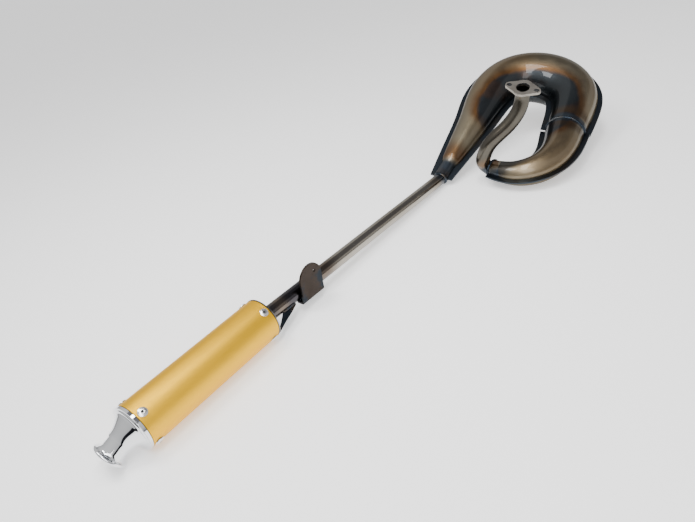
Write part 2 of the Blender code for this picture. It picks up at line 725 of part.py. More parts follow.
def outlet():
    centre, into, _ = tip_place()
    inner = SLEEVE_R - SLEEVE_WALL - GAP
    steps = 28
    end = -SLEEVE_LENGTH
    spine = Vector((1.0, 0.0, 0.0))
    stages = [
        (Vector((end + SKIRT, 0.0, 0.0)), spine, inner),
        (Vector((end - GAP, 0.0, 0.0)), spine, inner),
        (Vector((end - GAP, 0.0, 0.0)), spine, OUTLET_RIM_R),
        (Vector((end - GAP - OUTLET_RIM, 0.0, 0.0)), spine, OUTLET_RIM_R),
    ]
    rim = stages[-1][0]
    for i in range(1, 9):
        t = i / 8
        swing = math.radians(90 * t)
        out = 0.72 * (1 - math.cos(swing)) + 0.28 * t
        narrow = 0.80 * math.sin(swing) + 0.20 * t
        middle = rim.lerp(centre, out)
        facing = spine.lerp(into, smooth_step(t)).normalized()
        stages.append((middle, facing, OUTLET_RIM_R + (OUTLET_NECK_R - OUTLET_RIM_R) * narrow))
    stages.append((centre - into * 1.5, into, OUTLET_NECK_R))
    rings = []
    for middle, facing, radius in stages:
        turned = facing.to_track_quat("X", "Z").to_matrix()
        ring = []
        for k in range(steps):
            angle = math.tau * k / steps
            ring.append(middle + turned @ Vector((0.0, radius * math.cos(angle), radius * math.sin(angle))))
        rings.append(ring)
    cap = sweep_rings("outlet_cap", rings, SILENCER, CHROME, OUTLET_WALL, -1.0)
    place = Matrix.Translation(centre * MM) @ into.to_track_quat("X", "Z").to_matrix().to_4x4()
    tail = -TIP_LENGTH
    bore = TIP_R - TIP_WALL
    lathe(
        "outlet_tip",
        [
            (4.0, TIP_R - 0.3),
            (-TIP_LENGTH + 7.5, TIP_R),
            (tail + 5.0, TIP_R + 0.8),
            (tail + 3.4, TIP_R + 2.6),
            (tail + 2.6, LIP_R - 1.2),
            (tail + 1.9, LIP_R - 0.2),
            (tail + 0.9, LIP_R),
            (tail + 0.1, LIP_R - 0.6),
            (tail, LIP_R - 1.7),
            (tail + 1.2, TIP_R + 2.2),
            (tail + 3.6, bore + 0.6),
            (tail + 7.0, bore),
            (4.0, bore),
        ],
        SILENCER,
        CHROME,
        steps=32,
        place=place,
    )
    return cap


def rivet(name, axial, angle, cut_from):
    """A pop rivet standing on the sleeve, and the hole it goes through."""
    turn = math.radians(angle)
    radial = Vector((0.0, math.sin(turn), math.cos(turn)))
    place = Matrix.Translation(Vector((axial, 0.0, 0.0)) * MM)
    place = place @ radial.to_track_quat("X", "Z").to_matrix().to_4x4()
    seat = SLEEVE_R + GAP
    top = seat + RIVET_HEAD_H
    shank = SLEEVE_R - 4.2
    lathe(
        name,
        [
            (shank, 0.6),
            (shank, RIVET_SHANK_R),
            (seat, RIVET_SHANK_R),
            (seat, RIVET_HEAD_R),
            (seat + 0.6, RIVET_HEAD_R - 0.2),
            (top - 0.35, RIVET_HEAD_R - 1.9),
            (top, RIVET_HOLE_R + 0.9),
            (top - 0.1, RIVET_HOLE_R),
            (seat - 1.5, RIVET_HOLE_R),
        ],
        SILENCER,
        ALUMINIUM,
        steps=12,
        place=place,
    )
    drill = round_cutter("drill_" + name, RIVET_SHANK_R + 0.45, shank - 3.0, seat + 3.0, place, steps=10)
    drill.parent = SILENCER
    for piece in cut_from:
        boolean(piece, drill)


def silencer():
    inner = SLEEVE_R - SLEEVE_WALL
    sleeve = lathe(
        "silencer_sleeve",
        [(0.0, SLEEVE_R), (-SLEEVE_LENGTH, SLEEVE_R), (-SLEEVE_LENGTH, inner), (0.0, inner)],
        SILENCER,
        GOLD,
        steps=40,
    )
    skirt = inner - GAP
    bore = STINGER_R + 0.75
    inlet = lathe(
        "silencer_inlet_cap",
        [
            (-SKIRT, skirt),
            (GAP, skirt),
            (GAP, SLEEVE_R + 0.4),
            (GAP + CAP_WALL, SLEEVE_R + 0.4),
            (GAP + CAP_WALL + 0.2, 23.0),
            (3.6, 19.0),
            (5.2, 16.0),
            (5.2, bore),
            (5.2 - CAP_WALL, bore),
            (5.2 - CAP_WALL, 15.4),
            (2.4, 18.4),
            (0.3, 22.6),
            (0.0, skirt - CAP_WALL),
            (-SKIRT, skirt - CAP_WALL),
        ],
        SILENCER,
        STEEL_GREY,
        steps=32,
    )
    cap = outlet()
    core = lathe(
        "perforated_core",
        [(-2.0, CORE_R), (-206.0, CORE_R), (-206.0, CORE_R - CORE_WALL), (-2.0, CORE_R - CORE_WALL)],
        SILENCER,
        STEEL_GREY,
        steps=20,
    )
    core_ends = (-30.0, -180.0)
    for ring_number in range(CORE_RINGS):
        axial = core_ends[0] + (core_ends[1] - core_ends[0]) * ring_number / (CORE_RINGS - 1)
        for row in range(CORE_ROWS // 2):
            angle = math.pi * (row + 0.5 * (ring_number % 2)) / (CORE_ROWS // 2)
            radial = Vector((0.0, math.sin(angle), math.cos(angle)))
            place = Matrix.Translation(Vector((axial, 0.0, 0.0)) * MM)
            place = place @ radial.to_track_quat("X", "Z").to_matrix().to_4x4()
            name = f"core_drill_{ring_number}_{row}"
            drill = round_cutter(name, CORE_HOLE_R, -20.0, 20.0, place, steps=8)
            drill.parent = SILENCER
            boolean(core, drill)
    lathe(
        "silencer_packing",
        [(-18.0, inner - 0.6), (-188.0, inner - 0.6), (-188.0, CORE_R + GAP), (-18.0, CORE_R + GAP)],
        SILENCER,
        WOOL,
        steps=24,
    )
    for i in range(4):
        rivet(f"inlet_rivet_{i + 1}", -RIVET_INSET, INLET_RIVETS_AT + 90 * i, (sleeve, inlet))
        rivet(f"outlet_rivet_{i + 1}", -SLEEVE_LENGTH + RIVET_INSET, OUTLET_RIVETS_AT + 90 * i, (sleeve, cap))


def settle(root):
    """Moves the root so that the pieces stand on Z = 0, centred over the origin."""
    bpy.context.view_layer.update()
    graph = bpy.context.evaluated_depsgraph_get()
    low = np.full(3, np.inf)
    high = -low
    for obj in PARTS.objects:
        if obj.type == "EMPTY":
            continue
        shown = obj.evaluated_get(graph)
        mesh = shown.to_mesh()
        points = np.array([shown.matrix_world @ v.co for v in mesh.vertices])
        low = np.minimum(low, points.min(axis=0))
        high = np.maximum(high, points.max(axis=0))
        shown.to_mesh_clear()
    root.location = (-(low[0] + high[0]) / 2, -(low[1] + high[1]) / 2, -low[2])


clear_scene()
PARTS = new_collection("racing_exhaust_system")
CUTTERS = new_collection("cutters", hidden=True)

STEEL_TAN = material("lacquered_steel_tan", (0.27, 0.21, 0.15), 0.28, 1.0)
STEEL_GREY = material("header_steel", (0.36, 0.33, 0.29), 0.34, 1.0)
STEEL_SATIN = material("flange_steel", (0.45, 0.43, 0.39), 0.42, 1.0)
STEEL_LIGHT = material("tail_pipe_steel", (0.48, 0.46, 0.42), 0.25, 1.0)
STEEL_BLUE = material("blued_weld_steel", (0.06, 0.08, 0.11), 0.40, 1.0)
STEEL_BROWN = material("heat_browned_steel", (0.11, 0.09, 0.075), 0.45, 1.0)
GOLD = material("gold_anodised_aluminium", (0.83, 0.56, 0.16), 0.36, 1.0)
CHROME = material("chrome", (0.78, 0.79, 0.80), 0.08, 1.0)
ALUMINIUM = material("rivet_aluminium", (0.78, 0.78, 0.78), 0.32, 1.0)
WOOL = material("packing_wool", (0.75, 0.70, 0.60), 0.95, 0.0)

ROOT = frame("root", (0, 0, 0), (REST_ROLL, REST_PITCH, 0))
STINGER = frame("stinger_frame", (0, 0, 0), (0, 0, 0), ROOT)
CHAMBER = frame("chamber_frame", CHAMBER_AT, CHAMBER_TURN, STINGER)
SILENCER = frame("silencer_frame", (-STINGER_LENGTH, 0, 0), SILENCER_TURN, STINGER)

joint_end, joint_way = chamber_shells()
header(joint_end, joint_way)
port_flange()
tail_pipe()
mounting_bracket()
gusset_plate()
silencer()
settle(ROOT)
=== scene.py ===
"""Looks for the racing exhaust: finer shapes, tinted steel, gold anodising, chrome and a pale studio.

The fine pieces are made in the same local frames as the solids: the stinger frame, the chamber frame
and the silencer frame hang from one root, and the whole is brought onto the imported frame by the
silencer sleeve's box. Lengths are in millimetres and angles in degrees, unless a comment says otherwise.
"""

import json
from math import asin, atan2, cos, degrees, hypot, pi, radians, sin, sqrt, tan, tau

import bmesh
import bpy
import numpy as np
from mathutils import Matrix, Vector

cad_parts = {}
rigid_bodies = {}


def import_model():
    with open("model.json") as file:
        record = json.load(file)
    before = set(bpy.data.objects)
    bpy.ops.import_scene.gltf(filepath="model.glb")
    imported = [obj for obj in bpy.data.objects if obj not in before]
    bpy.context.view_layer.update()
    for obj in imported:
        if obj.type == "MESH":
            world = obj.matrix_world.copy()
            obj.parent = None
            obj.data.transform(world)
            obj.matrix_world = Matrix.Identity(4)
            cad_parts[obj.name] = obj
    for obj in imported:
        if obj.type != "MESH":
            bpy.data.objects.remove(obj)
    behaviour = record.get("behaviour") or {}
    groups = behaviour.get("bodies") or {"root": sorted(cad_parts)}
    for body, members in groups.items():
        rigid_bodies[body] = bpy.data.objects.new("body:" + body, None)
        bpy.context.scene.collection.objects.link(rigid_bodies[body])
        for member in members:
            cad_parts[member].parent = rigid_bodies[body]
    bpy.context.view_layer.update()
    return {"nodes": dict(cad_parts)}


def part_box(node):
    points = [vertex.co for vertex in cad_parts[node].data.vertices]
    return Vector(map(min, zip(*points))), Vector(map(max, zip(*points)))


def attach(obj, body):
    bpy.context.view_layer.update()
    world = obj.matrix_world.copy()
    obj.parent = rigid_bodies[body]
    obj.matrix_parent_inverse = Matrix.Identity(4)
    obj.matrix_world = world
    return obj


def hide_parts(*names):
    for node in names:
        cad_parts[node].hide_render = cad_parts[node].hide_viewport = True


MM = 0.001
X_WAY = Vector((1.0, 0.0, 0.0))
# How far pieces stand clear of each other.
GAP = 0.3
# Points closer than this become one, in metres, and faces within this many radians count as flat.
MERGE_DISTANCE = 0.000002
FLAT_ANGLE = 0.01

# How the finished exhaust lies on a flat floor: turns of the stinger frame about Y and X.
REST_PITCH = 2.078
REST_ROLL = 1.091

# Bevel resolution of a pipe, and the steps round a turned piece, the sleeve, a rivet and the cap.
TUBE_BEVEL = 16
TURNED_STEPS = 96
SLEEVE_STEPS = 120
RIVET_STEPS = 42
OUTLET_STEPS = 96

# Weld beads: width, height and number of ripples.
GIRTH_BEAD = (5.8, 2.2, 70)
DIFFUSER_BEAD = (5.0, 2.6, 34)
FLANGE_BEAD = (4.4, 2.6, 30)
STINGER_BEAD = (5.2, 3.2, 30)
COLLAR_BEAD = (5.4, 3.4, 30)
BRACKET_REAR_BEAD = (4.2, 1.9, 14)
BRACKET_FRONT_BEAD = (3.6, 1.4, 14)
GUSSET_PIPE_BEAD = (3.8, 1.8, 9)
GUSSET_CAP_BEAD = (3.2, 1.6, 3)
# How far most beads are sunk below the surface that they run on, facets across a bead, steps to a
# ripple, and how far the girth's beads stop short of the fins.
WELD_SUNK = 0.2
BEAD_FACETS = 12
RIPPLE_STEPS = 8
GIRTH_BEAD_CLEAR = 2.2

# Tail pipe (stinger), 22.2 mm tube.
STINGER_R = 11.1
STINGER_WALL = 1.5
STINGER_LENGTH = 472.0
STINGER_INTO_SILENCER = 14.0
STINGER_INTO_CONE = 30.0
STINGER_BEND = 9.0

# Expansion chamber: where its frame sits on the stinger frame.
CHAMBER_AT = (3.8, 0.0, 1.4)
CHAMBER_TURN = (9.17, -20.63, 1.37)
SHEET = 1.2
FIN = 9.6
FIN_END_BACK = 1.4
GIRTH_GAP = 0.1
NECK_R = 13.5
NECK_LENGTH = 30.0
NECK_BLEND = 17.0
# Convergent cone and belly: x, y and radius at stations along the seam plane.
UPPER_STATIONS = [
    (0.0, 0.0, 12.1),
    (85.6, 0.0, 23.5),
    (169.5, 1.0, 34.2),
    (250.3, 0.0, 44.6),
    (300.8, -26.4, 47.7),
    (320.2, -75.4, 49.6),
    (314.3, -116.6, 49.2),
    (289.5, -148.8, 46.8),
    (244.4, -164.6, 41.2),
    (184.7, -170.8, 36.7),
]
# Diffuser, from the girth weld down to the header joint.
LOWER_STATIONS = [
    (184.7, -170.8, 36.7),
    (112.2, -179.0, 30.6),
    (61.7, -162.8, 26.2),
    (39.0, -129.5, 22.0),
    (41.5, -88.0, 16.6),
]
# The diffuser's seam plane is tilted about a line through the girth centre.
LOWER_TILT_AXIS_AT = 131.6
LOWER_TILT = 13.4
# Spacing of the rings, the clear length about a fin's end and the step where the fin stops.
RING_PITCH = 3.5
RING_CLEAR = 7.5
FIN_END_STEP = 0.3
ARC_STEPS = 40

# Header, 25.4 mm tube: its route in the chamber frame, from the flange to the diffuser.
HEADER_R = 12.7
HEADER_WALL = 1.5
HEADER_ROUTE = [
    (105.3, -113.3, 145.2),
    (103.2, -113.9, 139.0),
    (97.0, -114.3, 128.0),
    (84.5, -110.4, 111.8),
    (69.5, -100.2, 95.2),
    (55.5, -86.8, 80.3),
    (44.8, -76.5, 65.0),
    (38.0, -71.8, 49.0),
    (36.2, -69.6, 37.0),
]
HEADER_FLARE = 13.0
# The elbow into the diffuser: how far its corner lies before the joint, and the straight that it
# leaves for the weld.
ELBOW_REACH = 20.4
ELBOW_STRAIGHT = 2.6
ELBOW_STEPS = 20

# Oval port flange, its face parallel to the seam plane.
FLANGE_AT = (106.6, -112.8, 152.3)
FLANGE_THICK = 4.5
FLANGE_HALF_LENGTH = 30.5
FLANGE_END_R = 7.0
FLANGE_HALF_WIDTH = 19.0
FLANGE_SIDE_R = 15.5
FLANGE_BORE_R = 11.2
BOLT_SPACING = 47.0
SLOT_R = 3.4
SLOT_TRAVEL = 2.4
# Half the turn of the flange's side arcs, and the turns where its end arcs start and stop.
FLANGE_SIDE_TURN = 62
FLANGE_END_TURNS = (28, 152)

# Rounding of each plate's edges: width and segments.
FLANGE_ROUND = (0.4, 3)
BRACKET_ROUND = (0.35, 2)
GUSSET_ROUND = (0.3, 2)

# Hanger bracket, an L-plate welded under the pipe.
BRACKET_X = 87.0
BRACKET_WIDTH = 44.0
BRACKET_FACE = 16.5
BRACKET_THICK = 3.0
BRACKET_TOP = 40.7
BRACKET_BOTTOM = -15.0
BRACKET_BEND = 3.2
BRACKET_LIP_END = -2.5
BRACKET_HOLE = (95.0, 26.4)
BRACKET_HOLE_R = 2.5
# How far the shapes that trim the bracket reach past it.
CUTTER_REACH = 30.0

# Gusset, a flat plate in the plane of the pipe's axis.
# Points are distance from the silencer and from the axis.
GUSSET_DIRECTION = 59.0
GUSSET_OUTER_EDGE = [(54.0, 11.5), (53.0, 14.0), (42.0, 18.0), (30.0, 21.5), (20.5, 24.4), (4.0, 30.0)]
GUSSET_INNER_EDGE = [(3.4, 26.0), (10.0, 23.5), (16.0, 20.0), (21.0, 16.5), (26.0, 13.2), (28.0, 11.5)]
GUSSET_THICK = 3.0

# Silencer.
SILENCER_TURN = (0.0, -1.56, 0.96)
SLEEVE_R = 30.0
SLEEVE_WALL = 1.2
SLEEVE_LENGTH = 208.0
SKIRT = 16.0
CAP_WALL = 1.2
RIVET_HEAD_R = 5.9
RIVET_HEAD_H = 1.9
RIVET_SHANK_R = 2.3
RIVET_HOLE_R = 1.5
RIVET_INSET = 8.2
INLET_RIVETS_AT = -38.0
OUTLET_RIVETS_AT = -34.0

# Angled outlet: how far the neck sits from the sleeve's end, how it is offset and turned, and the tip.
TIP_SIDE_TURN = -24.5
TIP_TILT = 33.0
NECK_OUT = 17.7
NECK_OFFSET = 4.9
OUTLET_NECK_R = 15.9
OUTLET_WALL = 0.45
OUTLET_STAGES = 64
# How far the cap follows a quarter turn, rather than a straight line, as it goes out and narrows.
CAP_BULGE = 0.72
CAP_HOLLOW = 0.80
# Two fine grooves beside the cap's rim: their depth, and their pitch as a share of the cap.
OUTLET_GROOVE = 0.22
GROOVE_PITCH = 0.14
OUTLET_RIM_R = 30.5
OUTLET_RIM = 3.6
TIP_R = 14.5
TIP_WALL = 1.2
TIP_LENGTH = 22.0
LIP_R = 20.3
LIP_ROUND = 2.0

# Steel colours of the chamber, the centres in metres of its loop of colour and of the diffuser's
# curve, and the way that the diffuser leaves the girth.
STRAW = (0.235, 0.202, 0.140)
DULL_STRAW = (0.185, 0.156, 0.104)
RUSTY = (0.200, 0.130, 0.062)
LOOP_ORANGE = (0.105, 0.044, 0.012)
LOOP_BLUE = (0.017, 0.023, 0.029)
STAIN_BROWN = (0.046, 0.026, 0.018)
GIRTH_BROWN = (0.060, 0.036, 0.018)
GIRTH_BLUE = (0.030, 0.040, 0.052)
INNER_DARK = (0.018, 0.020, 0.024)
CONE_ORANGE = (0.120, 0.052, 0.015)
CONE_BLUE = (0.028, 0.042, 0.062)
CONE_GREY = (0.055, 0.050, 0.050)
LOOP_CENTRE = (0.200, -0.088, 0.0)
GIRTH_WAY = (-1.0, -0.12, 0.12)
DIFFUSER_CENTRE = (0.130, 0.0, 0.0)
COAT_ROUGHNESS = 0.03
# The part of a noise's values that is spread over the whole range of roughness.
NOISE_SPAN = (0.35, 0.65)

# The turn between two faces above which their edge is drawn sharp.
PLATES = ("port_flange", "mounting_bracket", "gusset_plate")
PLATE_SHARP_ANGLE = 12.0
ROUND_SHARP_ANGLE = 32.0

# Camera: place in metres, turns, focal length on a 36 mm sensor and sideways shift.
CAMERA_AT = (-0.6792, -0.4691, 0.5120)
CAMERA_TURN = (56.549, 8.047, -55.272)
CAMERA_SENSOR = 36.0
CAMERA_LENS = 31.08
CAMERA_SHIFT = -0.0504

# Soft boxes: name, place, aim and size in metres, and power in watts.
SOFT_BOXES = (
    ("soft_box_top", (-0.26, -0.20, 1.35), (0.15, 0.0, 0.1), (0.30, 1.1), 13.0),
    ("soft_box_left", (-0.45, 0.35, 1.1), (0.2, 0.0, 0.1), (0.42, 0.42), 8.0),
    ("soft_box_front", (-0.92, -0.72, 0.95), (-0.54, 0.0, 0.05), (0.8, 0.9), 9.0),
)

# The room: brightness, its shades by height, and two darker parts with the ways that they lie.
WORLD_POWER = 0.90
ROOM_LOW = (0.05, (0.30, 0.30, 0.31, 1.0))
ROOM_WALL = (0.12, (0.70, 0.70, 0.71, 1.0))
ROOM_HIGH = (0.75, (1.0, 1.0, 1.0, 1.0))
DARK_WAY = (0.54, -0.16, 0.83)
DARK_SPAN = (0.80, 0.86)
DARK_SHADE = (0.24, 0.24, 0.26, 1.0)
LOW_DARK_WAY = (-0.82, -0.57, 0.0)
LOW_DARK_SPAN = (0.25, 0.45)
LOW_DARK_HEIGHT = (0.27, 0.20)
LOW_DARK_SHADE = (0.015, 0.015, 0.02, 1.0)
UPWARDS = (0.0, 0.0, 1.0)
FLOOR_SIZE = 14.0
FLOOR_DROP = 0.0005
FLOOR_SHADE = (0.93, 0.93, 0.93, 1.0)
FLOOR_GLOW = 0.55


def staged(name, data):
    """A new object in the scene's own collection."""
    obj = bpy.data.objects.new(name, data)
    bpy.context.scene.collection.objects.link(obj)
    return obj


def new_collection(name, hidden=False):
    made = bpy.data.collections.new(name)
    bpy.context.scene.collection.children.link(made)
    made.hide_render = hidden
    return made


def frame(name, at, turn, parent=None):
    """An empty that carries the pieces of one local frame. The place is in mm, the turns in degrees."""
    empty = bpy.data.objects.new(name, None)
    PARTS.objects.link(empty)
    empty.location = Vector(at) * MM
    empty.rotation_euler = [radians(angle) for angle in turn]
    empty.parent = parent
    return empty


def part(name, mesh, parent, smooth=True, angle=40.0):
    """Links a mesh as one named piece, shaded smooth where its faces meet at less than the angle."""
    obj = bpy.data.objects.new(name, mesh)
    PARTS.objects.link(obj)
    obj.parent = parent
    obj["node"] = name
    if smooth:
        mesh.shade_smooth()
        mesh.set_sharp_from_angle(angle=radians(angle))
    return obj


def cutter(name, mesh, parent):
    obj = bpy.data.objects.new(name, mesh)
    CUTTERS.objects.link(obj)
    obj.parent = parent
    obj.hide_render = True
    obj.display_type = "WIRE"
    return obj


def mesh_of(name, verts, faces, edges=()):
    mesh = bpy.data.meshes.new(name)
    mesh.from_pydata([Vector(v) * MM for v in verts], edges, faces)
    mesh.update()
    return mesh


def grid_faces(rows, wide, around=False, closed=False):
    """Faces between rows of points, which may close around each row and from the last to the first."""
    faces = []
    for i in range(rows if closed else rows - 1):
        low, high = i * wide, (i + 1) % rows * wide
        for k in range(wide if around else wide - 1):
            after = (k + 1) % wide
            faces.append((low + k, low + after, high + after, high + k))
    return faces


def sheet(name, rings, parent, around=False, angle=50.0):
    """A sheet lofted through rings that hold the same number of points."""
    verts = [point for ring in rings for point in ring]
    faces = grid_faces(len(rings), len(rings[0]), around)
    return part(name, mesh_of(name, verts, faces), parent, angle=angle)


def solidify(obj, thickness, offset):
    thick = obj.modifiers.new("thickness", "SOLIDIFY")
    thick.thickness = thickness * MM
    thick.offset = offset
    thick.use_even_offset = True
    return thick


def boolean(obj, other, operation="DIFFERENCE"):
    cut = obj.modifiers.new("cut_" + other.name, "BOOLEAN")
    cut.object = other
    cut.operation = operation
    cut.solver = "EXACT"
    return cut


def lathe(name, profile, parent, steps, place=None):
    """Turns a closed loop of (axial, radius) points about the parent's X axis, or about a matrix's."""
    area = sum(
        profile[i - 1][1] * profile[i][0] - profile[i][1] * profile[i - 1][0]
        for i in range(len(profile))
    )
    loop = profile if area < 0 else profile[::-1]
    count = len(loop)
    edges = [(i, (i + 1) % count) for i in range(count)]
    mesh = mesh_of(name, [(radius, 0.0, axial) for axial, radius in loop], [], edges)
    obj = part(name, mesh, parent)
    obj.matrix_local = (place or Matrix()) @ Matrix.Rotation(pi / 2, 4, "Y")
    screw = obj.modifiers.new("turn", "SCREW")
    screw.axis = "Z"
    screw.angle = tau
    screw.steps = steps
    screw.render_steps = steps
    screw.use_merge_vertices = True
    screw.merge_threshold = 0.00001
    screw.use_smooth_shade = True
    return obj


def rim(obj, width, segments):
    """Rounds the sharp edges of a plate."""
    soft = obj.modifiers.new("rim", "BEVEL")
    soft.width = width * MM
    soft.segments = segments
    soft.limit_method = "ANGLE"
    soft.angle_limit = radians(40.0)
    soft.harden_normals = True
    return soft


def clean(mesh, merged=False, flattened=False):
    """Turns the faces outwards, after doubled points are merged and flat regions joined where asked."""
    work = bmesh.new()
    work.from_mesh(mesh)
    if merged:
        bmesh.ops.remove_doubles(work, verts=work.verts, dist=MERGE_DISTANCE)
    if flattened:
        bmesh.ops.dissolve_limit(work, angle_limit=FLAT_ANGLE, verts=work.verts, edges=work.edges)
    bmesh.ops.recalc_face_normals(work, faces=work.faces)
    work.to_mesh(mesh)
    work.free()


def flat_plate(name, thickness, loops, parent, place):
    """A plate filled between flat loops of points, where an inner loop is a hole."""
    curve = bpy.data.curves.new(name, "CURVE")
    curve.dimensions = "2D"
    curve.fill_mode = "BOTH"
    curve.extrude = thickness / 2 * MM
    for loop in loops:
        spline = curve.splines.new("POLY")
        spline.points.add(len(loop) - 1)
        for point, (x, y) in zip(spline.points, loop):
            point.co = (x * MM, y * MM, 0.0, 1.0)
        spline.use_cyclic_u = True
    guide = bpy.data.objects.new(name + "_guide", curve)
    PARTS.objects.link(guide)
    bpy.context.view_layer.update()
    shown = guide.evaluated_get(bpy.context.evaluated_depsgraph_get())
    mesh = bpy.data.meshes.new_from_object(shown)
    bpy.data.objects.remove(guide, do_unlink=True)
    clean(mesh, merged=True, flattened=True)
    made = part(name, mesh, parent)
    made.matrix_local = place
    return made


def weld_rows(name, parent, spots, bead, closed):
    """A weld bead of overlapping crescents. Each spot holds a point, the way out and the way across."""
    width, height, ripples = bead
    count = len(spots)
    verts = []
    for i, (point, out, side) in enumerate(spots):
        share = i / count if closed else i / (count - 1)
        taper = 1.0 if closed else min(1.0, sqrt(max(0.02, min(share, 1 - share) * ripples * 1.2)))
        # Two slow waves of unrelated length keep the bead's width from being even.
        wobble = 1 + 0.05 * sin(share * 41.0) + 0.04 * sin(share * 97.0 + 1.3)
        for k in range(BEAD_FACETS + 1):
            a = -1 + 2 * k / BEAD_FACETS
            phase = share * ripples - 0.42 * a * a
            ripple = phase % 1.0
            crest = 0.74 + 0.26 * sqrt(1 - ripple)
            rise = height * taper * crest * sqrt(max(0.0, 1 - a * a))
            verts.append(point + out * rise + side * (a * width / 2 * taper * wobble))
    wide = BEAD_FACETS + 1
    faces = grid_faces(count, wide, True, closed)
    if not closed:
        faces.append(tuple(range(wide)))
        faces.append(tuple(range(count * wide - 1, (count - 1) * wide - 1, -1)))
    obj = part(name, mesh_of(name, verts, faces), parent, angle=60.0)
    clean(obj.data)
    return obj


def ring_weld(name, parent, place, axial, radius, bead, span=None):
    """A bead round the X axis of a place, either all the way or over a span of degrees."""
    closed = span is None
    first, last = span or (0.0, 360.0)
    count = bead[2] * RIPPLE_STEPS
    spots = []
    for i in range(count if closed else count + 1):
        angle = radians(first + (last - first) * i / count)
        out = Vector((0.0, sin(angle), cos(angle)))
        point = X_WAY * axial + out * radius
        spots.append((point, out, X_WAY))
    weld_rows(name, parent, spots, bead, closed).matrix_local = place


def line_weld(name, parent, ends, out, bead):
    """A straight bead between two points, rising along out."""
    start, stop = [Vector(end) for end in ends]
    out = Vector(out).normalized()
    side = (stop - start).normalized().cross(out)
    count = bead[2] * RIPPLE_STEPS
    spots = [(start.lerp(stop, i / count), out, side) for i in range(count + 1)]
    weld_rows(name, parent, spots, bead, False)


def natural_spline(points, per_step, axes):
    """Points of a natural cubic spline and its tangents, per_step apart over the first few axes."""
    knots = np.array(points, float)
    chord = np.concatenate([[0.0], np.cumsum(np.linalg.norm(np.diff(knots[:, :axes], axis=0), axis=1))])
    step = np.diff(chord)
    count = len(knots)
    system = np.eye(count)
    right = np.zeros_like(knots)
    for i in range(1, count - 1):
        system[i, i - 1] = step[i - 1]
        system[i, i] = 2 * (step[i - 1] + step[i])
        system[i, i + 1] = step[i]
        right[i] = 6 * ((knots[i + 1] - knots[i]) / step[i] - (knots[i] - knots[i - 1]) / step[i - 1])
    bend = np.linalg.solve(system, right)
    total = chord[-1]
    where = np.linspace(0.0, total, max(2, round(total / per_step) + 1))
    found, tangents = [], []
    for s in where:
        i = min(int(np.searchsorted(chord, s, side="right")) - 1, count - 2)
        h = step[i]
        a = (chord[i + 1] - s) / h
        b = (s - chord[i]) / h
        value = a * knots[i] + b * knots[i + 1]
        value += ((a**3 - a) * bend[i] + (b**3 - b) * bend[i + 1]) * h * h / 6
        slope = (knots[i + 1] - knots[i]) / h
        slope += ((1 - 3 * a * a) * bend[i] + (3 * b * b - 1) * bend[i + 1]) * h / 6
        found.append(value)
        tangents.append(slope)
    return where, np.array(found), np.array(tangents)


def tube(name, route, radius, wall, parent, radii=None):
    """An open tube swept along a route with its own wall, made from a bevelled curve."""
    curve = bpy.data.curves.new(name + "_route", "CURVE")
    curve.dimensions = "3D"
    curve.bevel_depth = radius * MM
    curve.bevel_resolution = TUBE_BEVEL
    curve.use_fill_caps = False
    curve.twist_mode = "MINIMUM"
    spline = curve.splines.new("POLY")
    spline.points.add(len(route) - 1)
    for i, point in enumerate(route):
        spline.points[i].co = (*(Vector(point) * MM), 1.0)
        spline.points[i].radius = radii[i] / radius if radii else 1.0
    guide = bpy.data.objects.new(name + "_guide", curve)
    CUTTERS.objects.link(guide)
    bpy.context.view_layer.update()
    mesh = bpy.data.meshes.new_from_object(guide)
    bpy.data.objects.remove(guide, do_unlink=True)
    clean(mesh, merged=True)
    mesh.name = name
    solidify(part(name, mesh, parent), wall, -1.0)


def half_shell(name, line, edges, side, planes):
    """One stamped half: a dome over the centreline and a flat fin along each side of it.

    The line holds the centres, tangents and radii, and the edges say how far the fins reach on the
    left and on the right. The sheet is the mating face of the stamping, and its thickness grows away
    from the seam. A ring with an entry in planes, a point and a direction, is cut to that plane. The
    fins are the sheet's second face group.
    """
    centres, tangents, radii = line
    rings = []
    for i, (centre, tangent, radius) in enumerate(zip(centres, tangents, radii)):
        along = Vector((tangent[0], tangent[1], 0.0)).normalized()
        left = Vector((-along.y, along.x, 0.0))
        middle = Vector((centre[0], centre[1], 0.0))
        inner = radius - SHEET
        across = [(edges[0][i], GAP / 2)]
        for k in range(ARC_STEPS + 1):
            angle = pi * k / ARC_STEPS
            across.append((inner * cos(angle), max(inner * sin(angle), GAP / 2)))
        across.append((-edges[1][i], GAP / 2))
        ring = []
        for u, height in across:
            point = middle + left * u + Vector((0.0, 0.0, side * height))
            if i in planes:
                at, normal = planes[i]
                point += along * ((at - point).dot(normal) / along.dot(normal))
            ring.append(point)
        rings.append(ring)
    obj = sheet(name, rings, CHAMBER)
    columns = len(rings[0]) - 1
    obj.data.materials.append(None)
    obj.data.materials.append(None)
    for face in obj.data.polygons:
        face.material_index = 1 if face.index % columns in (0, columns - 1) else 0
    solidify(obj, SHEET, 1.0 if side > 0 else -1.0)
    return obj


def facing_place(at, way, up):
    """A place at a point in mm with its X axis along a way and one other axis turned up."""
    return Matrix.Translation(at * MM) @ way.to_track_quat("X", up).to_matrix().to_4x4()


def girth_frames():
    """The girth's centre, the tilt of the diffuser's seam plane, and that tilt made about the centre."""
    at = Vector((*UPPER_STATIONS[-1][:2], 0.0))
    turn = radians(LOWER_TILT_AXIS_AT)
    hinge = Vector((cos(turn), sin(turn), 0.0))
    tilt = Matrix.Rotation(radians(LOWER_TILT), 4, hinge)
    place = Matrix.Translation(at) @ tilt @ Matrix.Translation(-at)
    return at, tilt, place


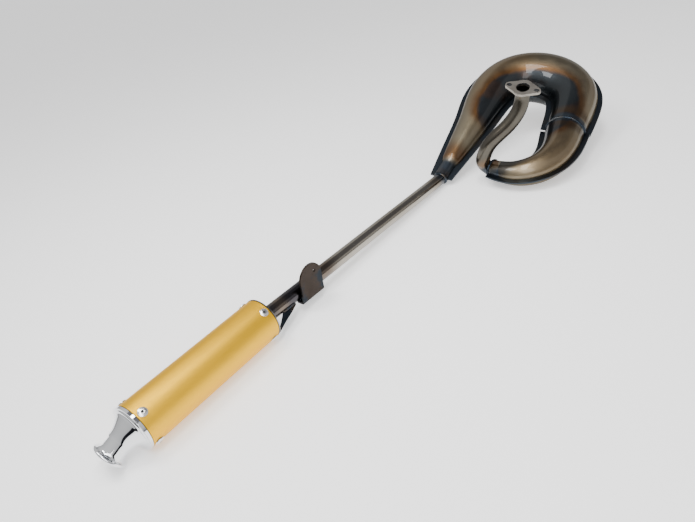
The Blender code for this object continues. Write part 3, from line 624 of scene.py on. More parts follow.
def centreline(stations, before, after, pitch):
    """Centres, tangents and radii between the first and last station. Extra stations only steer the ends."""
    every = ([before] if before else []) + stations + ([after] if after else [])
    where, found, slopes = natural_spline(every, 0.5, 2)
    first = np.array(stations[0][:2])
    last = np.array(stations[-1][:2])
    start = int(np.argmin(np.linalg.norm(found[:, :2] - first, axis=1)))
    end = int(np.argmin(np.linalg.norm(found[:, :2] - last, axis=1)))
    count = max(2, round((where[end] - where[start]) / pitch))
    picks = [round(start + (end - start) * i / count) for i in range(count + 1)]
    return where[picks] - where[start], found[picks, :2], slopes[picks, :2], found[picks, 2]


def with_extra_ring(line, back, from_end):
    """Adds two rings a little before one end, where the left fin is cut away, clear of other rings."""
    where, centres, tangents, radii = line
    spot = where[-1] - back if from_end else back
    keep = [i for i, s in enumerate(where) if abs(s - spot) > RING_CLEAR or i in (0, len(where) - 1)]
    beside = spot + (FIN_END_STEP if from_end else -FIN_END_STEP)
    spots = sorted([where[i] for i in keep] + [spot, beside])
    mixed = []
    for values in (centres[:, 0], centres[:, 1], tangents[:, 0], tangents[:, 1], radii):
        mixed.append(np.interp(spots, where, values))
    return np.array(spots), np.stack(mixed[:2], 1), np.stack(mixed[2:4], 1), mixed[4]


def smooth_step(value):
    held = min(max(value, 0.0), 1.0)
    return held * held * (3 - 2 * held)


def chamber_shells():
    """The four stampings and the girth weld. It returns the diffuser's mouth and the way into it."""
    at, tilt, place = girth_frames()
    line = centreline(UPPER_STATIONS, None, LOWER_STATIONS[1], RING_PITCH)
    where, centres, tangents, full = with_extra_ring(line, FIN_END_BACK, True)
    blend = [smooth_step((s - NECK_LENGTH) / NECK_BLEND) for s in where]
    radii = [NECK_R + share * (radius - NECK_R) for share, radius in zip(blend, full)]
    fin_end = where[-1] - FIN_END_BACK + 0.01
    edges = ([r + (FIN if s <= fin_end else 0.0) for s, r in zip(where, full)], full + FIN)
    low = centreline(LOWER_STATIONS, UPPER_STATIONS[-2], None, RING_PITCH * 0.9)
    low_where, low_centres, low_tangents, low_radii = with_extra_ring(low, FIN_END_BACK, False)
    fin_start = FIN_END_BACK - 0.01
    low_left = [r + (FIN if s >= fin_start else 0.0) for s, r in zip(low_where, low_radii)]
    upper_way = Vector((*tangents[-1], 0.0)).normalized()
    lower_way = (tilt @ Vector((*low_tangents[0], 0.0))).normalized()
    facing = (upper_way + lower_way).normalized()
    level = tilt.inverted() @ facing
    backs = [GIRTH_GAP / 2 + back for back in (0.0, FIN_END_BACK - FIN_END_STEP, FIN_END_BACK)]
    upper_planes = {len(where) - 1 - i: (at - facing * back, facing) for i, back in enumerate(backs)}
    lower_planes = {i: (at + level * back, level) for i, back in enumerate(backs)}
    for side, name in ((1, "near"), (-1, "far")):
        half_shell("chamber_shell_" + name, (centres, tangents, radii), edges, side, upper_planes)
        low_line = (low_centres, low_tangents, low_radii)
        low_edges = (low_left, low_radii + FIN)
        shell = half_shell("diffuser_shell_" + name, low_line, low_edges, side, lower_planes)
        shell.matrix_local = Matrix.Translation(at * MM) @ tilt @ Matrix.Translation(-at * MM)
    girth = facing_place(at, facing, "Z")
    girth_welds(at, Vector((-upper_way.y, upper_way.x, 0.0)), place, girth)
    end = place @ Vector((*low_centres[-1], 0.0))
    way = (tilt @ Vector((*low_tangents[-1], 0.0))).normalized()
    return end, -way


def girth_welds(at, left, place, girth):
    """A rippled bead over each half's dome, stopped short of the fins of both sections."""
    outer = UPPER_STATIONS[-1][2]
    reach = outer + 4.0
    corners = [at + left * reach, at - left * reach]
    corners += [place @ point for point in corners]
    heights = [(girth.inverted() @ (point * MM)).z / MM for point in corners]
    first = degrees(asin((max(heights) + GIRTH_BEAD_CLEAR) / outer))
    second = degrees(asin((min(heights) - GIRTH_BEAD_CLEAR) / outer))
    near, far = (90.0 - first, -90.0 + first), (90.0 - second, 270.0 + second)
    ring_weld("girth_weld_near", CHAMBER, girth, 0.0, outer - WELD_SUNK, GIRTH_BEAD, near)
    ring_weld("girth_weld_far", CHAMBER, girth, 0.0, outer - WELD_SUNK, GIRTH_BEAD, far)


def header(end, way):
    """The curled pipe from the flange into the diffuser, flared where they meet."""
    mouth = LOWER_STATIONS[-1][2]
    corner = end - way * ELBOW_REACH
    arriving = (corner - Vector(HEADER_ROUTE[-1])).normalized()
    swing = arriving.angle(way)
    tangent = ELBOW_REACH - ELBOW_STRAIGHT - GAP
    radius = tangent / tan(swing / 2)
    centre = corner + (way - arriving).normalized() * radius / cos(swing / 2)
    begin = corner - arriving * tangent
    _, route, _ = natural_spline(HEADER_ROUTE + [tuple(begin)], 3.0, 3)
    start = Vector((*HEADER_ROUTE[0][:2], FLANGE_AT[2] - FLANGE_THICK / 2))
    points = [start - Vector((0.0, 0.0, GAP))] + [Vector(point) for point in route]
    for i in range(1, ELBOW_STEPS + 1):
        turned = Matrix.Rotation(swing * i / ELBOW_STEPS, 3, arriving.cross(way))
        points.append(centre + turned @ (begin - centre))
    points.append(end - way * GAP)
    run = np.concatenate([[0.0], np.cumsum([(b - a).length for a, b in zip(points, points[1:])])])
    left = run[-1] - run
    flare = mouth - GAP - HEADER_R
    radii = [HEADER_R + flare * (1 - smooth_step(d / HEADER_FLARE)) for d in left]
    tube("header_pipe", points, HEADER_R, HEADER_WALL, CHAMBER, radii)
    joint = facing_place(end - way * GAP, way, "Z")
    ring_weld("header_diffuser_weld", CHAMBER, joint, -1.6, mouth - 0.5, DIFFUSER_BEAD)
    top = facing_place(start, Vector((0.0, 0.0, -1.0)), "Y")
    ring_weld("header_flange_weld", CHAMBER, top, 0.8, HEADER_R - WELD_SUNK, FLANGE_BEAD)


def arc(radius, centre, start, stop, steps):
    """Points of a flat arc between two turns."""
    turns = [radians(start + (stop - start) * i / steps) for i in range(steps + 1)]
    return [(centre[0] + radius * cos(a), centre[1] + radius * sin(a)) for a in turns]


def port_flange():
    """A rounded diamond plate with the port bore and two bolt slots. Its long way is the parent's Y."""
    reach = FLANGE_HALF_LENGTH - FLANGE_END_R
    side_reach = FLANGE_HALF_WIDTH - FLANGE_SIDE_R
    lean = degrees(atan2(FLANGE_SIDE_R - FLANGE_END_R, reach)) * 0.96
    side_half = FLANGE_SIDE_TURN - lean
    outline = []
    for turn, sign in ((0, 1), (180, -1)):
        side = (sign * side_reach, 0.0)
        outline += arc(FLANGE_SIDE_R, side, turn - side_half, turn + side_half, 24)
        first, last = FLANGE_END_TURNS
        end = (0.0, sign * reach)
        outline += arc(FLANGE_END_R, end, turn + first - lean / 2, turn + last + lean / 2, 24)
    loops = [outline, arc(FLANGE_BORE_R, (0.0, 0.0), 0, -354.0, 59)]
    for sign in (1, -1):
        middle = sign * BOLT_SPACING / 2
        slot = arc(SLOT_R, (0.0, middle + SLOT_TRAVEL / 2), 180, 0, 16)
        slot += arc(SLOT_R, (0.0, middle - SLOT_TRAVEL / 2), 0, -180, 16)
        loops.append(slot)
    place = Matrix.Translation(Vector(FLANGE_AT) * MM)
    rim(flat_plate("port_flange", FLANGE_THICK, loops, CHAMBER, place), *FLANGE_ROUND)


def tail_pipe():
    """Straight pipe that turns up into the cone's neck, with its weld."""
    up_cone = Matrix.Rotation(radians(CHAMBER_TURN[2]), 3, "Z")
    up_cone = up_cone @ Matrix.Rotation(radians(CHAMBER_TURN[1]), 3, "Y") @ X_WAY
    corner = Vector(CHAMBER_AT) - up_cone * 4.0
    ends = (-STINGER_LENGTH - STINGER_INTO_SILENCER, -STINGER_LENGTH / 2)
    route = [X_WAY * along for along in ends]
    start = corner - X_WAY * STINGER_BEND
    stop = corner + up_cone * STINGER_BEND
    for i in range(17):
        t = i / 16
        route.append(start * (1 - t) ** 2 + corner * 2 * t * (1 - t) + stop * t**2)
    route.append(Vector(CHAMBER_AT) + up_cone * STINGER_INTO_CONE)
    tube("tail_pipe", route, STINGER_R, STINGER_WALL, STINGER)
    ring_weld("stinger_weld", CHAMBER, Matrix(), -2.0, STINGER_R - WELD_SUNK, STINGER_BEAD)


def strip(name, route, across, thickness, parent):
    """A flat bar: a route drawn through space, widened both ways along one direction."""
    verts = []
    for point in route:
        verts += [Vector(point) - across, Vector(point) + across]
    obj = part(name, mesh_of(name, verts, grid_faces(len(route), 2)), parent, smooth=False)
    solidify(obj, thickness, 0.0)
    return obj


def mounting_bracket():
    middle = -STINGER_LENGTH + BRACKET_X
    half = BRACKET_THICK / 2
    face = -BRACKET_FACE + half
    floor = BRACKET_BOTTOM + half
    side = [(middle, BRACKET_LIP_END, floor)]
    for i in range(13):
        angle = radians(90.0 * i / 12)
        y = face + BRACKET_BEND - BRACKET_BEND * sin(angle)
        z = floor + BRACKET_BEND - BRACKET_BEND * cos(angle)
        side.append((middle, y, z))
    side.append((middle, face, BRACKET_TOP))
    radius = BRACKET_WIDTH / 2
    plate = strip("mounting_bracket", side, X_WAY * radius, BRACKET_THICK, STINGER)
    outline = arc(radius - 0.02, (middle, BRACKET_TOP - radius), 0, 180, 72)
    outline += [(middle - radius - 2, BRACKET_TOP - radius), (middle - radius - 2, -CUTTER_REACH)]
    outline += [(middle + radius + 2, -CUTTER_REACH), (middle + radius + 2, BRACKET_TOP - radius)]
    count = len(outline)
    verts = [(x, y, z) for y in (-CUTTER_REACH, CUTTER_REACH) for x, z in outline]
    faces = [tuple(range(count)), tuple(range(2 * count - 1, count - 1, -1))]
    faces += [(i, count + i, count + (i + 1) % count, (i + 1) % count) for i in range(count)]
    mould = cutter("bracket_outline", mesh_of("bracket_outline", verts, faces), STINGER)
    clean(mould.data)
    boolean(plate, mould, "INTERSECT")
    drill = Matrix.Translation(Vector((-STINGER_LENGTH + BRACKET_HOLE[0], 0.0, BRACKET_HOLE[1])) * MM)
    drill = drill @ Matrix.Rotation(pi / 2, 4, "Z")
    hole = round_cutter("bracket_drill", BRACKET_HOLE_R, -CUTTER_REACH, 0.0, drill, 40)
    hole.parent = STINGER
    boolean(plate, hole)
    rim(plate, *BRACKET_ROUND)
    low, high = middle - radius + 2, middle + radius - 2
    radius = 1.3
    y = BRACKET_LIP_END + GAP + radius
    z = -sqrt((STINGER_R + GAP + radius) ** 2 - y * y)
    ends = [(x, y, z + 0.6) for x in (low, high)]
    line_weld("bracket_weld_rear", STINGER, ends, (0.0, 0.6, -0.8), BRACKET_REAR_BEAD)
    radius = 1.05
    z = BRACKET_BOTTOM + BRACKET_THICK + GAP + radius
    y = -sqrt((STINGER_R + GAP + radius) ** 2 - z * z)
    ends = [(x, y + 0.4, z) for x in (low, high)]
    line_weld("bracket_weld_front", STINGER, ends, (0.0, -0.9, 0.3), BRACKET_FRONT_BEAD)


def round_cutter(name, radius, low, high, place, steps):
    """A solid cylinder along the X axis of a place, between two distances."""
    work = bmesh.new()
    bmesh.ops.create_cone(
        work,
        cap_ends=True,
        segments=steps,
        radius1=radius * MM,
        radius2=radius * MM,
        depth=(high - low) * MM,
    )
    mesh = bpy.data.meshes.new(name)
    work.to_mesh(mesh)
    work.free()
    obj = cutter(name, mesh, None)
    centre = Matrix.Translation(Vector(((low + high) / 2 * MM, 0.0, 0.0)))
    obj.matrix_local = place @ centre @ Matrix.Rotation(pi / 2, 4, "Y")
    return obj


def gusset_plate():
    """The flat gusset with its two welds, and the weld collar where the pipe enters the silencer."""
    turn = radians(GUSSET_DIRECTION)
    outward = Vector((0.0, -sin(turn), -cos(turn)))
    across = Vector((0.0, cos(turn), -sin(turn)))
    axes = Matrix((X_WAY, outward, X_WAY.cross(outward))).transposed()
    corner = X_WAY * -STINGER_LENGTH
    edges = GUSSET_OUTER_EDGE + GUSSET_INNER_EDGE
    place = Matrix.Translation(corner * MM) @ axes.to_4x4()
    rim(flat_plate("gusset_plate", GUSSET_THICK, [edges], STINGER, place), *GUSSET_ROUND)
    aside = corner - across * (GUSSET_THICK / 2)
    seat = aside + outward * (STINGER_R + 0.4)
    base = [seat + X_WAY * along for along in (29.0, 53.0)]
    line_weld("gusset_weld_pipe", STINGER, base, outward * 0.6 - across, GUSSET_PIPE_BEAD)
    foot = [aside + X_WAY * 3.4 + outward * far for far in (24.6, 29.0)]
    line_weld("gusset_weld_cap", STINGER, foot, Vector((0.7, 0.0, 0.0)) - across, GUSSET_CAP_BEAD)
    collar = Matrix.Translation(corner * MM)
    ring_weld("inlet_weld_collar", STINGER, collar, 7.4, STINGER_R - 0.3, COLLAR_BEAD)


def tip_place():
    """Where the outlet's neck sits in the silencer frame: its X axis points back into the silencer."""
    turn = radians(TIP_SIDE_TURN)
    sideways = Vector((0.0, -sin(turn), -cos(turn)))
    tilt = radians(TIP_TILT)
    into = X_WAY * cos(tilt) - sideways * sin(tilt)
    centre = Vector((-SLEEVE_LENGTH - NECK_OUT, 0.0, 0.0)) + sideways * NECK_OFFSET
    return centre, into


def outlet():
    """The pressed outlet cap, which narrows and turns into the angled tip with its rolled lip."""
    centre, into = tip_place()
    inner = SLEEVE_R - SLEEVE_WALL - GAP
    end = -SLEEVE_LENGTH
    stages = [
        (X_WAY * (end + SKIRT), X_WAY, inner),
        (X_WAY * (end - GAP), X_WAY, inner),
        (X_WAY * (end - GAP), X_WAY, OUTLET_RIM_R),
        (X_WAY * (end - GAP - OUTLET_RIM), X_WAY, OUTLET_RIM_R),
    ]
    shoulder = stages[-1][0]
    for i in range(1, OUTLET_STAGES + 1):
        t = i / OUTLET_STAGES
        swing = radians(90 * t)
        out = CAP_BULGE * (1 - cos(swing)) + (1 - CAP_BULGE) * t
        narrow = CAP_HOLLOW * sin(swing) + (1 - CAP_HOLLOW) * t
        middle = shoulder.lerp(centre, out)
        facing = X_WAY.lerp(into, smooth_step(t)).normalized()
        radius = OUTLET_RIM_R + (OUTLET_NECK_R - OUTLET_RIM_R) * narrow
        wave = 1 - cos(tau * t / GROOVE_PITCH)
        groove = OUTLET_GROOVE * wave if t < 2 * GROOVE_PITCH else 0.0
        stages.append((middle + X_WAY * groove, facing, radius))
    stages.append((centre - into * 1.5, into, OUTLET_NECK_R))
    rings = []
    for middle, facing, radius in stages:
        turned = facing.to_track_quat("X", "Z").to_matrix()
        ring = []
        for k in range(OUTLET_STEPS):
            angle = tau * k / OUTLET_STEPS
            ring.append(middle + turned @ Vector((0.0, radius * cos(angle), radius * sin(angle))))
        rings.append(ring)
    cap = sheet("outlet_cap", rings, SILENCER, around=True, angle=35.0)
    clean(cap.data)
    solidify(cap, OUTLET_WALL, -1.0)
    place = facing_place(centre, into, "Z")
    tail = -TIP_LENGTH
    bore = TIP_R - TIP_WALL
    turns = [radians(20 + 23 * i) for i in range(11)]
    centre_r = LIP_R - LIP_ROUND
    bead = [(tail + LIP_ROUND * (1 + cos(a)), centre_r + LIP_ROUND * sin(a)) for a in turns]
    lathe(
        "outlet_tip",
        [
            (4.0, TIP_R - 0.3), (tail + 8.5, TIP_R), (tail + 6.6, TIP_R + 0.3),
            (tail + 5.2, TIP_R + 1.1), (tail + 4.2, TIP_R + 2.4), *bead,
            (tail + 3.2, bore + 1.6), (tail + 4.8, bore + 0.5), (tail + 7.0, bore), (4.0, bore),
        ],
        SILENCER,
        TURNED_STEPS,
        place,
    )


def rivet(name, axial, angle):
    """A pop rivet standing on the sleeve."""
    turn = radians(angle)
    radial = Vector((0.0, sin(turn), cos(turn)))
    place = facing_place(X_WAY * axial, radial, "Z")
    seat = SLEEVE_R + GAP
    top = seat + RIVET_HEAD_H
    shank = SLEEVE_R - 4.2
    lathe(
        name,
        [
            (shank, 0.02), (shank, RIVET_SHANK_R), (seat, RIVET_SHANK_R), (seat, RIVET_HEAD_R),
            (seat + 0.6, RIVET_HEAD_R - 0.2), (top - 0.35, RIVET_HEAD_R - 1.9),
            (top, RIVET_HOLE_R + 0.9), (top - 0.1, RIVET_HOLE_R), (seat + 0.3, RIVET_HOLE_R),
            (seat + 0.2, 0.02),
        ],
        SILENCER,
        RIVET_STEPS,
        place,
    )


def silencer():
    inner = SLEEVE_R - SLEEVE_WALL
    lathe(
        "silencer_sleeve",
        [(0.0, SLEEVE_R), (-SLEEVE_LENGTH, SLEEVE_R), (-SLEEVE_LENGTH, inner), (0.0, inner)],
        SILENCER,
        SLEEVE_STEPS,
    )
    skirt = inner - GAP
    bore = STINGER_R + 0.75
    lathe(
        "silencer_inlet_cap",
        [
            (-SKIRT, skirt), (GAP, skirt), (GAP, SLEEVE_R + 0.4),
            (GAP + CAP_WALL, SLEEVE_R + 0.4), (GAP + CAP_WALL + 0.2, 23.0), (3.6, 19.0),
            (5.2, 16.0), (5.2, bore), (5.2 - CAP_WALL, bore), (5.2 - CAP_WALL, 15.4),
            (2.4, 18.4), (0.3, 22.6), (0.0, skirt - CAP_WALL), (-SKIRT, skirt - CAP_WALL),
        ],
        SILENCER,
        TURNED_STEPS,
    )
    outlet()
    for i in range(4):
        rivet(f"inlet_rivet_{i + 1}", -RIVET_INSET, INLET_RIVETS_AT + 90 * i)
        rivet(f"outlet_rivet_{i + 1}", -SLEEVE_LENGTH + RIVET_INSET, OUTLET_RIVETS_AT + 90 * i)


def build_pieces():
    joint_end, joint_way = chamber_shells()
    header(joint_end, joint_way)
    port_flange()
    tail_pipe()
    mounting_bracket()
    gusset_plate()
    silencer()


def in_flange_hole(spot):
    """Whether a point of the flange, in mm about its middle, lies on the wall of the port or a slot."""
    along = max(0.0, abs(abs(spot.y) - BOLT_SPACING / 2) - SLOT_TRAVEL / 2)
    slot = hypot(spot.x, along) < SLOT_R * 1.02
    return slot or hypot(spot.x, spot.y) < FLANGE_BORE_R * 1.01


def in_rivet_hole(spot):
    """Whether a point of a rivet, in mm about its axis, lies in its blind hole."""
    return hypot(spot.x, spot.y) < RIVET_HOLE_R * 1.03


def finished(obj, shift, graph):
    """A plain mesh in world coordinates made from one built piece. Small holes are a second face group,
    which gets a painted shade.
    """
    shown = obj.evaluated_get(graph)
    mesh = bpy.data.meshes.new_from_object(shown, preserve_all_data_layers=True, depsgraph=graph)
    groups = [face.material_index for face in mesh.polygons]
    # The rivets' holes and the walls of the flange's port and slots make the face group that gets the
    # painted shade.
    if "rivet" in obj["node"]:
        groups = [int(in_rivet_hole(face.center / MM)) for face in mesh.polygons]
    if obj["node"] == "port_flange":
        upright = [abs(face.normal.z) < 0.5 for face in mesh.polygons]
        groups = [int(up and in_flange_hole(f.center / MM)) for up, f in zip(upright, mesh.polygons)]
    mesh.transform(Matrix.Translation(shift) @ obj.matrix_world)
    mesh.materials.clear()
    for look in looks_of(obj["node"]):
        mesh.materials.append(look)
    mesh.polygons.foreach_set("material_index", groups)
    mesh.shade_smooth()
    sharp = PLATE_SHARP_ANGLE if obj["node"] in PLATES else ROUND_SHARP_ANGLE
    mesh.set_sharp_from_angle(angle=radians(sharp))
    mesh.update()
    return staged("fine_" + obj["node"], mesh)


def middle_of(points):
    return Vector((points.min(axis=0) + points.max(axis=0)) / 2)


def set_inputs(node, **values):
    """Sets a node's inputs, which are named with spaces written as underscores."""
    for key, value in values.items():
        node.inputs[key.replace("_", " ")].default_value = value


def node_of(tree, kind, values=(), **inputs):
    """A shader node with its own settings, given as pairs, and its inputs."""
    made = tree.nodes.new(kind)
    for key, value in dict(values).items():
        setattr(made, key, value)
    set_inputs(made, **inputs)
    return made


class Look:
    """One procedural metal, with helpers that add tints by place."""

    def __init__(self, name, colour, roughness, metallic=1.0, coat=0.0, edge=1.0):
        self.material = bpy.data.materials.new(name)
        self.material.use_nodes = True
        self.tree = self.material.node_tree
        self.shader = self.tree.nodes["Principled BSDF"]
        set_inputs(
            self.shader,
            Metallic=metallic,
            Roughness=roughness,
            Base_Color=(*colour, 1.0),
            Coat_Weight=coat,
            Coat_Roughness=COAT_ROUGHNESS,
            Specular_Tint=(edge, edge, edge, 1.0),
        )
        self.colour = None
        self.start = colour
        self.coords = self.add("TexCoord").outputs["Object"]

    def add(self, kind, values=(), **inputs):
        return node_of(self.tree, "ShaderNode" + kind, values, **inputs)

    def link(self, source, target):
        self.tree.links.new(source, target)

    def local(self, place):
        """Coordinates in the axes of a place, in metres."""
        back = place.inverted()
        turn = back.to_3x3().normalized().to_euler("XYZ")
        made = self.add("Mapping", Location=back.translation, Rotation=turn)
        self.link(self.coords, made.inputs["Vector"])
        return made.outputs["Vector"]

    def math(self, operation, first, second):
        made = self.add("Math", {"operation": operation})
        for i, value in enumerate((first, second)):
            if isinstance(value, (int, float)):
                made.inputs[i].default_value = value
            else:
                self.link(value, made.inputs[i])
        return made.outputs[0]

    def axis(self, vector, index):
        made = self.add("SeparateXYZ")
        self.link(vector, made.inputs[0])
        return made.outputs[index]

    def distance(self, vector, point, flat=False):
        """How far a place is from a point, or only across the seam plane when flat."""
        if flat:
            scale = self.add("VectorMath", {"operation": "MULTIPLY"})
            scale.inputs[1].default_value = (1.0, 1.0, 0.0)
            self.link(vector, scale.inputs[0])
            vector = scale.outputs[0]
        made = self.add("VectorMath", {"operation": "DISTANCE"})
        self.link(vector, made.inputs[0])
        made.inputs[1].default_value = point
        return made.outputs["Value"]

    def noise(self, scale, detail):
        made = self.add("TexNoise", Scale=scale, Detail=detail)
        self.link(self.coords, made.inputs["Vector"])
        return made.outputs["Fac"]

    def ramp(self, value, low, high, kind="SMOOTHSTEP"):
        made = self.add("MapRange", {"interpolation_type": kind}, From_Min=low, From_Max=high)
        self.link(value, made.inputs["Value"])
        return made.outputs["Result"]

    def band(self, value, start, full, fade, stop):
        """One between full and fade, falling to nought at start and stop."""
        return self.both(self.ramp(value, start, full), self.ramp(value, stop, fade))

    def tint(self, amount, colour, most=1.0):
        """Mixes a colour over what is there by an amount."""
        made = self.add("Mix", {"data_type": "RGBA"}, B=(*colour, 1.0))
        self.link(self.both(amount, most), made.inputs["Factor"])
        if self.colour is None:
            made.inputs["A"].default_value = (*self.start, 1.0)
        else:
            self.link(self.colour, made.inputs["A"])
        self.colour = made.outputs["Result"]
        self.link(self.colour, self.shader.inputs["Base Color"])

    def both(self, first, second):
        return self.math("MULTIPLY", first, second)

    def wandering(self, value, amount, reach):
        """A value moved back and forth by a noise, over a reach."""
        return self.math("ADD", value, self.both(self.math("SUBTRACT", amount, 0.5), reach))

    def vary_roughness(self, amount, low, high):
        made = self.add("MapRange", To_Min=low, To_Max=high)
        self.link(self.ramp(amount, *NOISE_SPAN, "LINEAR"), made.inputs["Value"])
        self.link(made.outputs["Result"], self.shader.inputs["Roughness"])

    def bump(self, value, strength, distance):
        made = self.add("Bump", Strength=strength, Distance=distance)
        self.link(value, made.inputs["Height"])
        self.link(made.outputs["Normal"], self.shader.inputs["Normal"])


def chamber_look(place, girth):
    """Lacquered steel: straw, with a blued loop inside an orange one, and heat marks at the welds."""
    look = Look("lacquered_steel", STRAW, 0.38, coat=0.45, edge=0.45)
    spot = look.local(place)
    far = look.axis(spot, 0)
    cloud = look.noise(9.0, 4.0)
    look.tint(look.ramp(cloud, 0.35, 0.70), DULL_STRAW, 0.8)
    look.tint(look.ramp(look.noise(5.0, 2.0), 0.50, 0.70), RUSTY, 0.50)
    # The loop of colour round the middle of the belly, by distance from the loop's centre.
    loop = look.wandering(look.distance(spot, LOOP_CENTRE, True), cloud, 0.03)
    belly = look.ramp(far, 0.120, 0.150)
    inside = look.ramp(loop, 0.099, 0.090)
    look.tint(look.both(look.band(loop, 0.086, 0.094, 0.097, 0.116), belly), LOOP_ORANGE, 0.88)
    look.tint(look.both(inside, belly), LOOP_BLUE, 0.96)
    stain = look.both(look.ramp(look.noise(17.0, 3.0), 0.48, 0.62), inside)
    look.tint(look.both(stain, belly), STAIN_BROWN, 0.65)
    # The girth weld's heat mark, by distance to each side of the weld.
    girth_spot = look.local(girth)
    seam = look.math("ABSOLUTE", look.axis(girth_spot, 0), 0.0)
    near = look.math("LESS_THAN", look.distance(girth_spot, (0.0, 0.0, 0.0)), 0.085)
    look.tint(look.both(look.band(seam, 0.009, 0.014, 0.018, 0.034), near), GIRTH_BROWN, 0.65)
    inner = look.ramp(look.distance(spot, DIFFUSER_CENTRE, True), 0.170, 0.151)
    inner = look.both(inner, look.math("LESS_THAN", look.axis(spot, 1), -0.100))
    look.tint(inner, INNER_DARK, 0.85)
    look.tint(look.both(look.ramp(seam, 0.013, 0.005), near), GIRTH_BLUE, 0.90)
    # The cone's heat mark, by distance along the cone from the tail pipe's weld.
    cone = look.math("LESS_THAN", look.distance(spot, (0.0, 0.0, 0.0)), 0.110)
    shifted = look.wandering(far, cloud, 0.02)
    look.tint(look.both(look.band(shifted, 0.030, 0.044, 0.056, 0.090), cone), CONE_ORANGE, 0.80)
    look.tint(look.both(look.ramp(shifted, 0.040, 0.026), cone), CONE_BLUE, 0.92)
    look.tint(look.both(look.ramp(shifted, 0.014, 0.006), cone), CONE_GREY, 0.6)
    look.vary_roughness(look.noise(60.0, 3.0), 0.36, 0.46)
    return look.material


def fin_look():
    look = Look("seam_fin_steel", (0.044, 0.055, 0.067), 0.34, coat=0.15, edge=0.6)
    look.tint(look.ramp(look.noise(22.0, 3.0), 0.45, 0.65), (0.070, 0.062, 0.052), 0.6)
    return look.material


def header_look(joint):
    """Dull brown steel, with a heat mark by distance from the joint with the diffuser."""
    look = Look("header_steel", (0.085, 0.076, 0.060), 0.28, coat=0.4, edge=0.5)
    look.tint(look.ramp(look.noise(16.0, 4.0), 0.42, 0.66), (0.058, 0.049, 0.037), 0.7)
    reach = look.distance(look.coords, joint)
    look.tint(look.band(reach, 0.018, 0.026, 0.030, 0.046), (0.180, 0.100, 0.045), 0.6)
    look.tint(look.ramp(reach, 0.028, 0.016), (0.035, 0.045, 0.060), 0.85)
    return look.material


def pipe_look(place):
    """Bright steel, browned and blued by distance along the pipe towards the welds at its ends."""
    look = Look("tail_pipe_steel", (0.330, 0.305, 0.262), 0.18)
    along = look.axis(look.local(place), 0)
    cloud = look.noise(14.0, 3.0)
    moved = look.wandering(along, cloud, 0.05)
    look.tint(look.ramp(cloud, 0.45, 0.70), (0.270, 0.240, 0.195), 0.6)
    look.tint(look.ramp(moved, -0.300, -0.345), (0.115, 0.085, 0.065), 0.85)
    look.tint(look.band(moved, -0.445, -0.420, -0.385, -0.350), (0.045, 0.045, 0.055), 0.85)
    look.tint(look.ramp(moved, -0.440, -0.462), (0.050, 0.060, 0.075), 0.7)
    look.tint(look.ramp(moved, -0.060, -0.020), (0.150, 0.115, 0.080), 0.65)
    look.tint(look.ramp(moved, -0.026, -0.006), (0.035, 0.050, 0.072), 0.85)
    return look.material


def brown_look():
    look = Look("heat_browned_steel", (0.034, 0.025, 0.020), 0.42)
    look.tint(look.ramp(look.noise(38.0, 5.0), 0.45, 0.62), (0.015, 0.021, 0.028), 0.9)
    look.tint(look.ramp(look.noise(70.0, 3.0), 0.60, 0.72), (0.070, 0.048, 0.034), 0.6)
    look.vary_roughness(look.noise(90.0, 3.0), 0.36, 0.50)
    return look.material


def weld_look():
    look = Look("blued_weld_steel", (0.035, 0.046, 0.062), 0.30)
    look.tint(look.ramp(look.noise(55.0, 3.0), 0.50, 0.68), (0.075, 0.058, 0.040), 0.7)
    look.tint(look.ramp(look.noise(33.0, 3.0), 0.58, 0.72), (0.120, 0.125, 0.130), 0.7)
    return look.material


def plain_looks(sleeve_place):
    """The silencer's metals and packing, the flange's steel and a painted shade for the inside of small
    holes.
    """
    gold = Look("gold_anodised_aluminium", (0.800, 0.455, 0.012), 0.50)
    along = gold.axis(gold.local(sleeve_place), 0)
    half = SLEEVE_LENGTH * MM / 2
    from_middle = gold.math("ABSOLUTE", gold.math("ADD", along, half), 0.0)
    gold.vary_roughness(gold.noise(420.0, 3.0), 0.46, 0.54)
    gold.bump(gold.noise(1500.0, 2.0), 0.05, 0.0002)
    gold.tint(gold.ramp(from_middle, half - 0.0009, half - 0.0006), (0.060, 0.035, 0.010), 0.9)
    flange = Look("flange_steel", (0.330, 0.305, 0.270), 0.42)
    flange.tint(flange.ramp(flange.noise(50.0, 4.0), 0.45, 0.66), (0.240, 0.220, 0.190), 0.7)
    # Painted shade: a flat dark colour on the walls of the flange's port and slots and in the rivets' holes,
    # where shade falls.
    shadow = Look("painted_hole_shade", (0.020, 0.020, 0.022), 0.6, 0.0)
    cap = Look("inlet_cap_steel", (0.360, 0.340, 0.310), 0.26)
    cap.tint(cap.ramp(cap.noise(30.0, 3.0), 0.45, 0.66), (0.200, 0.180, 0.150), 0.6)
    chrome = Look("chrome", (0.760, 0.770, 0.785), 0.045)
    rivets = Look("rivet_aluminium", (0.800, 0.800, 0.800), 0.24)
    wool = Look("packing_wool", (0.700, 0.650, 0.540), 0.95, 0.0)
    wool.bump(wool.noise(180.0, 4.0), 0.5, 0.001)
    return {
        "gold": gold.material,
        "flange": flange.material,
        "cap": cap.material,
        "chrome": chrome.material,
        "rivets": rivets.material,
        "wool": wool.material,
        "shadow": shadow.material,
    }


def area_light(name, at, aim, size, power):
    data = bpy.data.lights.new(name, "AREA")
    data.shape = "RECTANGLE"
    data.size, data.size_y = size
    data.energy = power
    obj = staged(name, data)
    obj.location = at
    obj.rotation_euler = (Vector(aim) - Vector(at)).to_track_quat("-Z", "Y").to_euler()


def dot_range(tree, coords, way, low, high):
    """How far a direction points along a way, eased from nought at low to one at high."""
    made = node_of(tree, "ShaderNodeVectorMath", {"operation": "DOT_PRODUCT"})
    made.inputs[1].default_value = way
    tree.links.new(coords.outputs["Generated"], made.inputs[0])
    smooth = {"interpolation_type": "SMOOTHSTEP"}
    eased = node_of(tree, "ShaderNodeMapRange", smooth, From_Min=low, From_Max=high)
    tree.links.new(made.outputs["Value"], eased.inputs["Value"])
    return eased.outputs["Result"]


